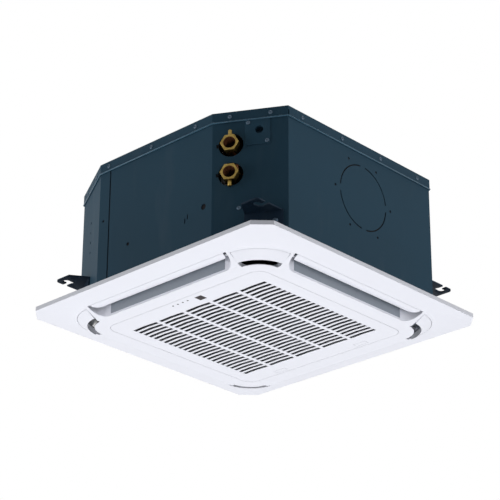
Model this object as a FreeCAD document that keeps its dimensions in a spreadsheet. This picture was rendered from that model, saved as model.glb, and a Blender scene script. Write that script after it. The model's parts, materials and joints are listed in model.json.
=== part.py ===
import FreeCAD
import Part
import Sketcher
import math
import os
import re
from types import SimpleNamespace

# A ceiling cassette air conditioner in millimetres, +Z up. X runs along the front of the case and Y
# towards its back. The origin lies midway between the four hanger slots, at the underside of the hooks.

SIZES = {
    # Case
    "ring_inset": 7.5,
    "case_side": "=2 * (ring_half + ring_inset)",
    "case_height": 261.0,
    "corner_along": 130.0,
    "corner_across": 73.0,
    "sheet": 1.2,
    "cover_flange": 22.0,
    "cover_fit": 0.3,
    "case_lip": 18.0,
    "seam_inset": 159.5,
    "seam_place": "=case_side / 2 - seam_inset",
    "seam_gap": 3.0,
    "slit_width": 3.0,
    "slit_height": 14.0,
    "bead_length": 300.0,
    "bead_width": 14.0,
    "bead_rise": 2.5,
    "bead_place": 130.0,
    "foam": 5.0,
    "foam_fit": 0.3,
    "overrun": 2.0,
    # Small holes in the sheets
    "vent_radius": 2.6,
    "vent_low": 99.0,
    "vent_step": 22.0,
    "vent_count": 4,
    "knockout_radius": 6.0,
    "knockout_place": 135.5,
    "knockout_level": 71.0,
    "pin_hole_radius": 3.6,
    "pin_hole_place": -71.0,
    "pin_hole_level": 59.0,
    "lance_width": 2.4,
    "lance_height": 10.0,
    "lance_place": 85.0,
    "lance_level": 52.0,
    "lance_step": 7.0,
    "wrap_hole_inset": 17.0,
    "wrap_hole_place": "=-seam_place - wrap_hole_inset",
    "wrap_hole_level": 132.0,
    # Screw heads
    "screw_head": 4.2,
    "screw_rise": 1.6,
    "front_screw_count": 3,
    "front_screw_inset": 165.5,
    "front_screw_pitch": "=case_side / 2 - front_screw_inset",
    "front_screw_shift": 10.0,
    "side_screw_count": 4,
    "side_screw_pitch": 116.0,
    "corner_screw_count": 2,
    "corner_screw_pitch": 80.0,
    "cover_screw_drop": 11.0,
    # Hangers
    "hook_inset_x": 52.0,
    "hook_pitch_x": "=case_side - hook_inset_x",
    "hook_inset_y": 30.0,
    "hook_pitch_y": "=case_side - hook_inset_y",
    "hook_rise": 40.0,
    "hook_width": 12.0,
    "hook_slot": 24.0,
    "hook_ahead": 8.0,
    "hook_seat": 14.0,
    "hook_mouth": 10.5,
    "hook_mouth_shift": 4.0,
    "hook_edge_x": 16.5,
    "hook_edge_y": 17.0,
    "hook_round": 9.0,
    "hanger_plate": 3.0,
    "hanger_reach": 48.5,
    "hanger_start": "=hook_pitch_x / 2 - hanger_reach",
    "hanger_shoulder": 24.5,
    "hanger_bend": "=hook_pitch_x / 2 - hanger_shoulder",
    "hanger_leg": 39.0,
    "hanger_screw_share": 0.2,
    "hanger_screw_drop": 20.0,
    "hanger_screw_head": 5.5,
    "hanger_screw_rise": 3.0,
    "rivet_along": 53.0,
    "rivet_level": 55.0,
    # Pipe corner
    "fitting_along": 36.5,
    "fitting_drop": 71.0,
    "fitting_upper": "=case_height - fitting_drop",
    "fitting_pitch": 62.0,
    "fitting_lower": "=fitting_upper - fitting_pitch",
    "fitting_hex": 32.0,
    "fitting_length": 28.0,
    "fitting_proud": 13.0,
    "thread_radius": 12.05,
    "thread_depth": 25.0,
    "pipe_hole": 24.5,
    "pipe_notch": 8.0,
    "bleed_radius": 3.0,
    "bleed_fit": 0.05,
    "bleed_depth": 2.6,
    "bleed_head": 4.0,
    "bleed_height": 12.0,
    "bleed_out": 6.5,
    "header_radius": 9.0,
    "header_upper_inset": 50.0,
    "header_lower_inset": 72.0,
    "header_below": 44.0,
    "header_above": 36.0,
    "branch_radius": 4.0,
    "branch_count": 4,
    "branch_pitch": 18.0,
    "drain_along": 92.0,
    "drain_plate_shift": 3.0,
    "drain_drop": 49.0,
    "drain_level": "=case_height - drain_drop",
    "drain_plate_width": 49.0,
    "drain_plate_height": 54.0,
    "drain_plate": 1.5,
    "drain_hole_rise": 5.0,
    "drain_bore": 8.0,
    "drain_wall": 3.0,
    "drain_depth": 16.0,
    "drain_length": 26.0,
    "drain_screw_margin": 6.0,
    # Fresh-air ring
    "air_ring_radius": 68.0,
    "air_ring_slit": 2.6,
    "air_ring_bridge": 14.0,
    "air_ring_pcd": 165.0,
    "air_ring_holes": 6,
    "air_ring_hole_radius": 2.65,
    "air_ring_y": 4.0,
    "air_ring_drop": 117.0,
    "air_ring_level": "=case_height - air_ring_drop",
    # Heat exchanger
    "coil_gap": 55.5,
    "coil_depth": 36.0,
    "coil_seat": 3.0,
    "coil_cut": 50.0,
    "coil_open": 157.5,
    "coil_end": "=case_side / 2 - coil_open",
    "coil_clear": 61.0,
    "coil_height": "=case_height - coil_clear",
    "bend_radius": 9.0,
    "bend_count": 8,
    "bend_margin": 23.0,
    "bend_pitch": "=(coil_height - 2 * bend_margin) / (bend_count - 1)",
    # Drain pan, bell mouth and pump
    "pan_height": 50.0,
    "trough_wall": 5.0,
    "trough_depth": 30.0,
    "pan_outlet_margin": 3.0,
    "pan_outlet_inset": 38.0,
    "pan_outlet_half": "=outlet_half - pan_outlet_inset",
    "mouth_plate": 3.0,
    "mouth_flare": 140.0,
    "mouth_throat": 102.0,
    "mouth_height": 60.0,
    "mouth_wall": 3.0,
    "pump_inset": 62.0,
    "pump_foot": 10.0,
    "pump_radius": 22.0,
    "pump_low": 84.0,
    "pump_height": 52.0,
    "pump_arm": 38.0,
    "pump_arm_width": 12.0,
    "pump_arm_thick": 6.0,
    "float_pin": 2.5,
    "float_fit": 0.05,
    "float_radius": 10.0,
    "float_height": 14.0,
    "float_collar": 5.0,
    "float_level": 42.0,
    "hose_radius": 7.0,
    "hose_bend": 20.0,
    # Fan
    "fan_radius": 158.0,
    "fan_plate_drop": 69.0,
    "fan_plate_level": "=case_height - fan_plate_drop",
    "fan_plate": 3.0,
    "fan_cone": 62.0,
    "fan_boss": 14.0,
    "fan_boss_drop": 57.0,
    "fan_boss_low": "=fan_plate_level - fan_boss_drop",
    "fan_boss_height": 20.0,
    "fan_blades": 7,
    "fan_blade": 3.2,
    "fan_blade_inner": 96.0,
    "fan_blade_mid": 126.0,
    "blade_mid_turn": 15.0,
    "blade_tip_turn": 35.0,
    "fan_inlet": 107.0,
    "fan_shroud_low": 103.0,
    "fan_shroud_rise": 16.0,
    "shaft_radius": 5.0,
    "shaft_fit": 0.05,
    "shaft_below": 13.0,
    "shaft_low": "=fan_boss_low - shaft_below",
    "shaft_drop": 57.0,
    "shaft_high": "=case_height - shaft_drop",
    "nut_hex": 17.0,
    "nut_height": 9.0,
    "motor_nose": 22.0,
    "motor_nose_drop": 89.0,
    "motor_nose_low": "=case_height - motor_nose_drop",
    "motor_radius": 52.0,
    "motor_drop": 59.0,
    "motor_low": "=case_height - motor_drop",
    "motor_flange": 72.0,
    "motor_flange_thick": 4.0,
    "motor_flange_drop": 17.0,
    "motor_flange_level": "=case_height - motor_flange_drop",
    "mount_radius": 9.0,
    "mount_place": 61.0,
    "mount_count": 3,
    # Electrics
    "box_gap": 2.0,
    "box_width": 42.0,
    "box_half_y": 130.0,
    "box_height": 40.0,
    "box_wall": 1.5,
    "box_cover": 1.2,
    "board_margin": 6.0,
    "board_thick": 1.6,
    "board_gap": 5.0,
    "board_front_share": 0.33,
    "terminal_length": 60.0,
    "terminal_width": 22.0,
    "terminal_height": 16.0,
    "gland_radius": 9.0,
    "gland_bore": 5.0,
    "gland_length": 14.0,
    # Panel
    "panel_overhang": 36.0,
    "panel_side": "=case_side + 2 * panel_overhang",
    "panel_corner": 30.0,
    "body_gap": 21.5,
    "rim_height": 8.5,
    "dome_depth": 26.0,
    "outlet_width": 33.0,
    "ring_half": "=plateau_half + outlet_width",
    "ring_depth": 7.5,
    "grille_border": 36.5,
    "plateau_half": "=grille_half + grille_border",
    "plateau_round": 57.0,
    "plateau_thick": 8.0,
    "skin": 3.0,
    "outlet_end": 59.0,
    "outlet_half": "=plateau_half - outlet_end",
    "outlet_round": 30.0,
    "rib_reach": 32.0,
    "rib_start": "=outlet_half - rib_reach",
    "rib_margin": 4.0,
    "cover_round": 86.0,
    "slot_round": 65.0,
    "slot_edge_depth": 23.5,
    "slot_end_turn": 4.0,
    "slot_lip": 1.2,
    "slot_under": 22.0,
    "slot_inset": 7.0,
    "corner_fit": 0.8,
    "corner_leg": 3.6,
    "corner_skin": 2.6,
    "corner_lip": 12.0,
    "corner_lip_thick": 1.6,
    "roof_level": 2.0,
    "roof_thick": 3.0,
    "roof_inner": 67.0,
    "roof_end_turn": 20.0,
    "panel_screw_round": 73.5,
    "panel_screw_turn": 28.0,
    "panel_screw_radius": 2.5,
    "panel_screw_head": 5.0,
    "panel_screw_rise": 3.0,
    "panel_screw_fit": 0.2,
    "guide_thick": 12.0,
    "guide_lap": 7.0,
    "guide_inner": "=plateau_half - guide_lap",
    "guide_sill": 4.5,
    "guide_rim": 4.0,
    "guide_outer": "=ring_half + guide_rim",
    "guide_fit": 0.4,
    "guide_hole": 6.0,
    "guide_corner": 70.0,
    "guide_drop": 2.0,
    # Louvres
    "louvre_gap": 0.6,
    "louvre_inset": 3.0,
    "louvre_inner": "=plateau_half + louvre_inset",
    "louvre_inner_depth": 0.5,
    "louvre_bulge": 5.0,
    "louvre_thick": 2.5,
    "louvre_end": 6.0,
    "louvre_half": "=outlet_half - louvre_end",
    "louvre_round": 38.0,
    "pivot_inset": 9.0,
    "pivot_place": "=plateau_half + pivot_inset",
    "pivot_level": 2.5,
    "pin_radius": 2.5,
    "pin_fit": 0.05,
    "tab_inset": 40.0,
    "tab_place": "=outlet_half - tab_inset",
    "tab_width": 6.0,
    "tab_half": 4.0,
    "pin_short": 3.0,
    "louvre_motor_radius": 11.0,
    "louvre_motor_length": 13.0,
    "pin_seat": 5.0,
    # Intake grille
    "grille_half": 210.5,
    "grille_fit": 0.7,
    "grille_round": 25.0,
    "grille_thick": 3.5,
    "grille_wall": 3.0,
    "grille_wall_height": 7.5,
    "grille_wall_inset": 1.0,
    "grille_wall_corner": 18.0,
    "slat_thick": 1.2,
    "slat_margin": 2.0,
    "slot_columns": 5,
    "slot_rows": 24,
    "slot_gap": 8.25,
    "slot_length": "=(slot_field_x - (slot_columns - 1) * slot_gap) / slot_columns",
    "slot_width": 8.2,
    "slot_bow": 1.6,
    "slot_margin_x": 31.5,
    "slot_field_x": "=2 * (grille_half - slot_margin_x)",
    "slot_margin_y": 47.0,
    "slot_field_y": "=2 * (grille_half - slot_margin_y)",
    "grille_stop_place": 140.0,
    "grille_stop_half": 10.0,
    "grille_stop_reach": 3.5,
    "grille_stop_thick": 3.0,
    "grille_pin_radius": 1.5,
    "grille_pin_fit": 0.05,
    "grille_pin_back": 24.5,
    "grille_pin_level": 3.0,
    "grille_pin_reach": 4.0,
    "grille_pin_end": 0.5,
    "pad_place": 110.0,
    "pad_back": 12.5,
    "pad_length": 30.0,
    "pad_width": 11.0,
    "pad_fit": 0.4,
    "pad_thick": 4.5,
    "window_x": 36.0,
    "window_front": 20.5,
    "window_side": 17.0,
    "window_fit": 0.15,
    "lamp_x": -12.0,
    "lamp_front": 13.5,
    "lamp_pitch": 13.3,
    "lamp_count": 4,
    "lamp_radius": 2.0,
    "display_length": 110.0,
    "display_width": 24.0,
    "display_front": 6.0,
    "display_thick": 1.6,
    "filter_margin_x": 24.5,
    "filter_x": "=grille_half - filter_margin_x",
    "filter_margin_y": 38.5,
    "filter_y": "=grille_half - filter_margin_y",
    "filter_thick": 4.0,
    "filter_net": 0.8,
    "filter_rib": 4.0,
    "filter_columns": 5,
    "filter_rows": 4,
    "filter_rest": 0.3,
}

CASE = "-hook_rise"
PANEL = "-(hook_rise + body_gap + rim_height)"

DOC = FreeCAD.newDocument("CassetteAirConditioner")
SHEET = DOC.addObject("Spreadsheet::Sheet", "Sizes")
for row, name in enumerate(SIZES, start=1):
    SHEET.set(f"A{row}", name)
    SHEET.setAlias(f"B{row}", name)
for row, length in enumerate(SIZES.values(), start=1):
    SHEET.set(f"B{row}", str(length))
DOC.recompute()
size = SimpleNamespace(**{name: float(SHEET.get(name)) for name in SIZES})
NODES = {}
UP = FreeCAD.Vector(0, 0, 1)


def linked(expression):
    """The expression with each size name pointing at the sheet."""
    def point(word):
        return "Sizes." + word[0] if word[0] in SIZES else word[0]
    return re.sub(r"[a-z_]+", point, str(expression))


def value(expression):
    """What an expression over the sheet's sizes comes to."""
    return FreeCAD.Units.Quantity(SHEET.evalExpression(str(expression))).Value


def node(label, item):
    """Keep the item as a sub-part under its label."""
    item.Label = label
    NODES[label] = item
    return item


# Bodies of sketches and features

def new_body(name, frame="0"):
    body = DOC.addObject("PartDesign::Body", name)
    body.AllowCompound = True
    body.setExpression("Placement.Base.z", linked(frame))
    return body


def new_sketch(body, level="0", role="XY_Plane"):
    """An empty sketch on one of the body's own planes, raised to a level."""
    sketch = body.newObject("Sketcher::SketchObject", "Sketch")
    plane = [feature for feature in body.Origin.OriginFeatures if feature.Role == role][0]
    sketch.AttachmentSupport = (plane, [""])
    sketch.MapMode = "FlatFace"
    sketch.setExpression("AttachmentOffset.Base.z", linked(level))
    return sketch


def hold(sketch, kind, geometry, point, expression):
    """Bind one coordinate of a sketch point to an expression."""
    constraint = Sketcher.Constraint(kind, -1, 1, geometry, point, value(expression))
    number = sketch.addConstraint(constraint)
    sketch.setExpression(f"Constraints[{number}]", linked(expression))


def add_polygon(sketch, points):
    """A closed outline through points given as pairs of expressions."""
    places = [FreeCAD.Vector(value(x), value(y), 0) for x, y in points]
    first = sketch.GeometryCount
    for start, end in zip(places, places[1:] + places[:1]):
        sketch.addGeometry(Part.LineSegment(start, end))
    for index, (x, y) in enumerate(points):
        following = (index + 1) % len(points)
        sketch.addConstraint(Sketcher.Constraint("Coincident", first + index, 2, first + following, 1))
        hold(sketch, "DistanceX", first + index, 1, x)
        hold(sketch, "DistanceY", first + index, 1, y)


def add_circle(sketch, x, y, radius):
    centre = FreeCAD.Vector(value(x), value(y), 0)
    index = sketch.addGeometry(Part.Circle(centre, UP, value(radius)))
    hold(sketch, "DistanceX", index, 3, x)
    hold(sketch, "DistanceY", index, 3, y)
    number = sketch.addConstraint(Sketcher.Constraint("Radius", index, value(radius)))
    sketch.setExpression(f"Constraints[{number}]", linked(radius))


def polygons(body, loops, level="0", role="XY_Plane"):
    sketch = new_sketch(body, level, role)
    for loop in loops:
        add_polygon(sketch, loop)
    return sketch


def circles(body, places, radius, level="0", role="XY_Plane"):
    sketch = new_sketch(body, level, role)
    for x, y in places:
        add_circle(sketch, x, y, radius)
    return sketch


def pad(body, sketch, length):
    feature = body.newObject("PartDesign::Pad", "Pad")
    feature.Profile = sketch
    feature.setExpression("Length", linked(length))
    return feature


def pocket(body, sketch, length):
    """Cut upwards from the sketch, and make sure that something was cut."""
    DOC.recompute()
    before = body.Shape.Volume
    feature = body.newObject("PartDesign::Pocket", "Pocket")
    feature.Profile = sketch
    feature.Reversed = True
    feature.setExpression("Length", linked(length))
    DOC.recompute()
    if not body.Shape.Volume < before:
        raise RuntimeError(f"a pocket of {body.Name} cuts nothing")
    return feature


def revolve(body, points, turn="360"):
    """Turn an outline of radius and height pairs about the body's upright axis."""
    sketch = polygons(body, [points], role="XZ_Plane")
    feature = body.newObject("PartDesign::Revolution", "Revolution")
    feature.Profile = sketch
    feature.ReferenceAxis = (sketch, ["V_Axis"])
    feature.setExpression("Angle", linked(turn))
    return feature


def round_uprights(body, feature, radius):
    """Round the upright edges of a feature."""
    DOC.recompute()
    names = []
    for number, edge in enumerate(feature.Shape.Edges, start=1):
        along = edge.tangentAt(edge.FirstParameter)
        if abs(along.z) > abs(along.x) + abs(along.y):
            names.append(f"Edge{number}")
    fillet = body.newObject("PartDesign::Fillet", "Fillet")
    fillet.Base = (feature, names)
    fillet.setExpression("Radius", linked(radius))
    return fillet


# Primitives and booleans

def primitive(kind, place, frame="0", turn=None, **lengths):
    item = DOC.addObject("Part::" + kind, kind)
    for key, expression in lengths.items():
        item.setExpression(key, linked(expression))
    if turn is not None:
        item.Placement = FreeCAD.Placement(FreeCAD.Vector(), turn)
    for axis, expression in zip("xyz", place):
        item.setExpression("Placement.Base." + axis, linked(expression))
    item.setExpression("Placement.Base.z", linked(f"({place[2]}) + ({frame})"))
    return item


def box(low, high, frame="0"):
    spans = [f"({b}) - ({a})" for a, b in zip(low, high)]
    return primitive("Box", low, frame, Length=spans[0], Width=spans[1], Height=spans[2])


def cylinder(place, radius, height, frame="0", turn=None):
    return primitive("Cylinder", place, frame, turn, Radius=radius, Height=height)


def at(item, place, turn):
    """Put a primitive at a worked-out place, turned."""
    item.Placement = FreeCAD.Placement(place, turn)
    return item


def loose(kind, **lengths):
    item = DOC.addObject("Part::" + kind, kind)
    for key, expression in lengths.items():
        item.setExpression(key, linked(expression))
    return item


def fuse(items):
    if len(items) == 1:
        return items[0]
    union = DOC.addObject("Part::MultiFuse", "Union")
    union.Shapes = items
    return union


def cut(base, tools):
    rest = DOC.addObject("Part::Cut", "Cut")
    rest.Base = base
    rest.Tool = fuse(tools)
    return rest


def shaped(label, shape, frame="0", turns=0):
    """A worked-out shape, raised to its frame and turned by quarter turns."""
    item = DOC.addObject("Part::Feature", label)
    item.Shape = shape
    item.Placement = FreeCAD.Placement(FreeCAD.Vector(0, 0, value(frame)), FreeCAD.Rotation(UP, 90 * turns))
    return node(label, item)


# Outlines

def rectangle(x_low, x_high, y_low, y_high):
    return [(x_low, y_low), (x_high, y_low), (x_high, y_high), (x_low, y_high)]


def centred(half_x, half_y):
    return rectangle(f"-({half_x})", half_x, f"-({half_y})", half_y)


def cut_square(half, corner):
    """A square with its corners cut off at 45 degrees."""
    flat = f"({half}) - ({corner})"
    quarter_path = [(f"-({flat})", f"-({half})"), (flat, f"-({half})")]
    return [place for turns in range(4) for place in turned(quarter_path, turns)]


def turned(points, turns):
    """Points turned by quarter turns about the upright axis."""
    for _ in range(turns):
        points = [(f"-({y})", x) for x, y in points]
    return points


def row_places(count, pitch):
    """Places of a row, counted from its middle."""
    return [(index - (count - 1) / 2) * pitch for index in range(int(count))]


def all_round(points):
    return [turned(points, turns) for turns in range(4)]


def case_outline(inset):
    """The case's half width and the half lengths of its front and side flats, at an inset."""
    half = f"(case_side / 2 - ({inset}))"
    trim = "(corner_along + corner_across - sqrt(corner_along ^ 2 + corner_across ^ 2))"
    along = f"(corner_along - ({inset}) * {trim} / corner_across)"
    across = f"(corner_across - ({inset}) * {trim} / corner_along)"
    return half, f"({half} - {along})", f"({half} - {across})"


def octagon(inset):
    half, front, side = case_outline(inset)
    right = [(front, f"-{half}"), (half, f"-{side}"), (half, side), (front, half)]
    left = [(f"-{x}", y) for x, y in reversed(right)]
    return right + left


SHEET_OUT = "(sheet + cover_fit)"
SHEET_IN = f"({SHEET_OUT} + sheet)"
LIP_IN = f"({SHEET_OUT} + case_lip)"
FOAM_OUT = f"({SHEET_IN} + foam_fit)"
FOAM_IN = f"({FOAM_OUT} + foam)"
PAN_OUT = f"({FOAM_IN} + foam_fit)"
COVER_UNDER = "(case_height - sheet)"
COIL_HALF = "(case_side / 2 - coil_gap)"
PAN_OPENING = f"({COIL_HALF} - coil_depth - coil_seat - trough_wall)"
BOX_OUTER = f"({PAN_OPENING} - box_gap)"
BOX_INNER = f"({BOX_OUTER} - box_width)"
ROUND_CENTRE = "(plateau_half - plateau_round)"
RIB_END = f"({ROUND_CENTRE} + rib_margin)"
MOTOR_START = f"({RIB_END} + corner_fit)"
GRILLE_PIN_Y = "(grille_pin_back - grille_half)"
GRILLE_PIN_Z = "(grille_pin_level - dome_depth)"
SCREW_X = f"({ROUND_CENTRE} + panel_screw_round * cos(panel_screw_turn))"
SCREW_Y = f"({ROUND_CENTRE} + panel_screw_round * sin(panel_screw_turn))"
SCREW_PLACES = [(f"{sx}*{SCREW_X}", f"{sy}*{SCREW_Y}") for sx in (1, -1) for sy in (1, -1)]


class CornerFace:
    """One slanted corner face of the case: along it from its front or back end, up, and out from it."""

    def __init__(self, side_x, side_y, inset=SHEET_OUT):
        half, front, side = [value(text) for text in case_outline(inset)]
        run = FreeCAD.Vector(side_x * (half - front), -side_y * (half - side), 0)
        self.length = run.Length
        self.along = run.normalize()
        self.out = FreeCAD.Vector(side_x * abs(run.y), side_y * abs(run.x), 0)
        self.start = FreeCAD.Vector(side_x * front, side_y * half, 0)
        self.turn = FreeCAD.Rotation(self.along, UP, self.out, "ZXY")

    def point(self, along, out, height):
        """A place on the face, with the height taken from the bottom of the case."""
        foot = self.start + self.along * along + self.out * out
        return FreeCAD.Vector(foot.x, foot.y, height + value(CASE))


PIPE_FACE = CornerFace(1, -1)


def on_pipe_face(kind, along, out, height, **lengths):
    """A primitive that stands out from the pipe corner's face."""
    return at(loose(kind, **lengths), PIPE_FACE.point(along, out, height), PIPE_FACE.turn)


# Case

def front_strip(outer, inner, sign):
    """The outline of a front or back sheet: its flat and the corner face at one end."""
    half, front, side = case_outline(outer)
    deep, deep_front, deep_side = case_outline(inner)
    edge = "(-seam_place + seam_gap / 2)"
    path = [(edge, f"-{half}"), (front, f"-{half}"), (half, f"-{side}")]
    path += [(deep, f"-{deep_side}"), (deep_front, f"-{deep}"), (edge, f"-{deep}")]
    return [(f"{sign}*{x}", f"{sign}*({y})") for x, y in path]


def side_strip(outer, inner, sign):
    """The outline of a side sheet: its flat, one corner face and the wrap on to the back or front."""
    half, front, side = case_outline(outer)
    deep, deep_front, deep_side = case_outline(inner)
    edge = "(seam_place + seam_gap / 2)"
    path = [(half, f"(cover_fit - {side})"), (half, side), (front, half), (edge, half), (edge, deep)]
    path += [(deep_front, deep), (deep, deep_side), (deep, f"(cover_fit - {deep_side})")]
    return [(f"{sign}*{x}", f"{sign}*{y}") for x, y in path]


def case_sheet(name, strip, sign, screw_place):
    body = new_body(name, CASE)
    pad(body, polygons(body, [strip(SHEET_OUT, SHEET_IN, sign)]), COVER_UNDER)
    pad(body, polygons(body, [strip(SHEET_OUT, LIP_IN, sign)]), "sheet")
    pocket(body, circles(body, [screw_place], "panel_screw_radius + panel_screw_fit"), "sheet")
    return body


def sheet_hole(along, height, face):
    tool = loose("Cylinder", Radius="vent_radius", Height="sheet + 2 * overrun")
    return at(tool, face.point(along, -size.sheet - size.overrun, height), face.turn)


def pipe_holes(radius, drain_radius, depth):
    """Tools for the two pipe openings and the drain opening of the pipe corner."""
    back = -value(depth)
    reach = f"({depth}) + overrun"
    tools = []
    for height in (size.fitting_upper, size.fitting_lower):
        tools.append(on_pipe_face("Cylinder", size.fitting_along, back, height, Radius=radius, Height=reach))
    level = size.drain_level + size.drain_hole_rise
    tools.append(on_pipe_face("Cylinder", size.drain_along, back, level, Radius=drain_radius, Height=reach))
    return tools


FRONT_DEPTH = "(-case_side / 2 + cover_fit + 2 * sheet + overrun)"


def front_hole(x, level, radius="vent_radius"):
    """A tool for a small round hole in the front face."""
    facing = FreeCAD.Rotation(UP, FreeCAD.Vector(0, -1, 0))
    return cylinder((x, FRONT_DEPTH, level), radius, "sheet + 2 * overrun", CASE, facing)


def front_slit(x, level, width, height):
    """A tool for a small upright slit in the front face."""
    return box((x, "-case_side / 2", level), (f"{x} + {width}", FRONT_DEPTH, f"{level} + {height}"), CASE)


def front_sheet():
    body = case_sheet("FrontSheet", front_strip, 1, SCREW_PLACES[1])
    tools = pipe_holes("pipe_hole", "drain_bore + drain_wall + foam_fit", "sheet + overrun")
    for height in (size.fitting_upper, size.fitting_lower):
        notch_start = size.fitting_along - size.pipe_hole - size.pipe_notch / 2
        notch_low = height - size.pipe_notch / 2
        tools.append(on_pipe_face("Box", notch_start, -size.sheet - size.overrun, notch_low,
                                  Length="pipe_notch", Width="pipe_notch", Height="sheet + 2 * overrun"))
    tools.append(front_hole("pin_hole_place", "pin_hole_level", "pin_hole_radius"))
    tools.append(front_hole("knockout_place", "knockout_level", "knockout_radius"))
    for step in range(2):
        tools.append(front_slit(f"lance_place + {step} * lance_step", f"lance_level + {step} * lance_step",
                                "lance_width", "lance_height"))
    node("case_front", cut(body, tools))


def right_sheet():
    body = case_sheet("RightSheet", side_strip, 1, SCREW_PLACES[0])
    facing = FreeCAD.Rotation(UP, FreeCAD.Vector(1, 0, 0))
    start = ("case_side / 2 - cover_fit - 2 * sheet - overrun", "air_ring_y", "air_ring_level")
    reach = "sheet + 2 * overrun"
    outer = cylinder(start, "air_ring_radius + air_ring_slit / 2", reach, CASE, facing)
    inner = cylinder(start, "air_ring_radius - air_ring_slit / 2", reach, CASE, facing)
    span = "(air_ring_radius + overrun)"
    half = "air_ring_bridge / 2"
    upright = box((start[0], f"air_ring_y - {half}", f"air_ring_level - {span}"),
                  (f"{start[0]} + {reach}", f"air_ring_y + {half}", f"air_ring_level + {span}"), CASE)
    level = box((start[0], f"air_ring_y - {span}", f"air_ring_level - {half}"),
                (f"{start[0]} + {reach}", f"air_ring_y + {span}", f"air_ring_level + {half}"), CASE)
    tools = [cut(outer, [inner, upright, level])]
    for index in range(int(size.air_ring_holes)):
        turn = f"{index} * 360 / air_ring_holes"
        place = (start[0], f"air_ring_y + air_ring_pcd / 2 * cos({turn})",
                 f"air_ring_level + air_ring_pcd / 2 * sin({turn})")
        tools.append(cylinder(place, "air_ring_hole_radius", reach, CASE, facing))
    node("case_right", cut(body, tools))


def left_sheet():
    body = case_sheet("LeftSheet", side_strip, -1, SCREW_PLACES[3])
    face = CornerFace(-1, -1)
    tools = []
    for index in range(int(size.vent_count)):
        height = size.vent_low + index * size.vent_step
        tools.append(sheet_hole(face.length / 2, height, face))
    tools.append(front_hole("wrap_hole_place", "wrap_hole_level"))
    node("case_left", cut(body, tools))


def back_sheet():
    node("case_back", case_sheet("BackSheet", front_strip, -1, SCREW_PLACES[2]))


def top_cover():
    body = new_body("TopCover", CASE)
    under = "case_height - cover_flange"
    pad(body, polygons(body, [octagon("0")], under), "cover_flange")
    pocket(body, polygons(body, [octagon("sheet")], under), "cover_flange - sheet")
    bead = rectangle("-bead_length / 2", "bead_length / 2", "-bead_place - bead_width", "-bead_place")
    pad(body, polygons(body, all_round(bead)[::2], "case_height"), "bead_rise")
    half, _, side = case_outline("0")
    slit = box((f"{half} - sheet - overrun", f"-{side}", f"{under} - overrun"),
               (f"{half} + overrun", f"-{side} + slit_width", f"{under} + slit_height"), CASE)
    node("top_cover", cut(body, [slit]))


def insulation():
    body = new_body("Insulation", CASE)
    pad(body, polygons(body, [octagon(FOAM_OUT), octagon(FOAM_IN)], "sheet"), f"{COVER_UNDER} - sheet")
    tools = pipe_holes("pipe_hole", "drain_bore + drain_wall + foam_fit",
                       "2 * sheet + 2 * foam_fit + foam + overrun")
    node("insulation", cut(body, tools))


def screw_head(face_point, facing, radius, rise):
    return at(loose("Cylinder", Radius=radius, Height=rise), face_point, facing)


def cover_screws():
    """Screw heads along the flange of the top cover."""
    half = size.case_side / 2
    level = size.case_height - size.cover_screw_drop + value(CASE)
    heads = []
    for sign in (1, -1):
        out_y = FreeCAD.Rotation(UP, FreeCAD.Vector(0, -sign, 0))
        out_x = FreeCAD.Rotation(UP, FreeCAD.Vector(sign, 0, 0))
        for place in row_places(size.front_screw_count, size.front_screw_pitch):
            x = sign * (place - size.front_screw_shift)
            heads.append((FreeCAD.Vector(x, -sign * half, level), out_y))
        for y in row_places(size.side_screw_count, size.side_screw_pitch):
            heads.append((FreeCAD.Vector(sign * half, y, level), out_x))
        for side in (1, -1):
            face = CornerFace(sign, side, "0")
            facing = FreeCAD.Rotation(UP, face.out)
            for place in row_places(size.corner_screw_count, size.corner_screw_pitch):
                along = face.length / 2 + place
                heads.append((face.point(along, 0, level - value(CASE)), facing))
    screws = [screw_head(place, facing, "screw_head", "screw_rise") for place, facing in heads]
    node("cover_screws", fuse(screws))


# Hangers

ROD_X = "(hook_pitch_x / 2)"
ROD_Y = "(hook_pitch_y / 2)"
TIP_X = f"({ROD_X} + hook_edge_x)"
TIP_Y = f"({ROD_Y} + hook_edge_y)"


def on_corner_face(x, out="0"):
    """The place at a given x on the back right corner face, or out from it."""
    half, front, _ = case_outline(SHEET_OUT)
    span = "sqrt(corner_along ^ 2 + corner_across ^ 2)"
    return (f"{x} + ({out}) * corner_across / {span}",
            f"{half} - ({x} - {front}) * corner_across / corner_along + ({out}) * corner_along / {span}")


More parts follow.
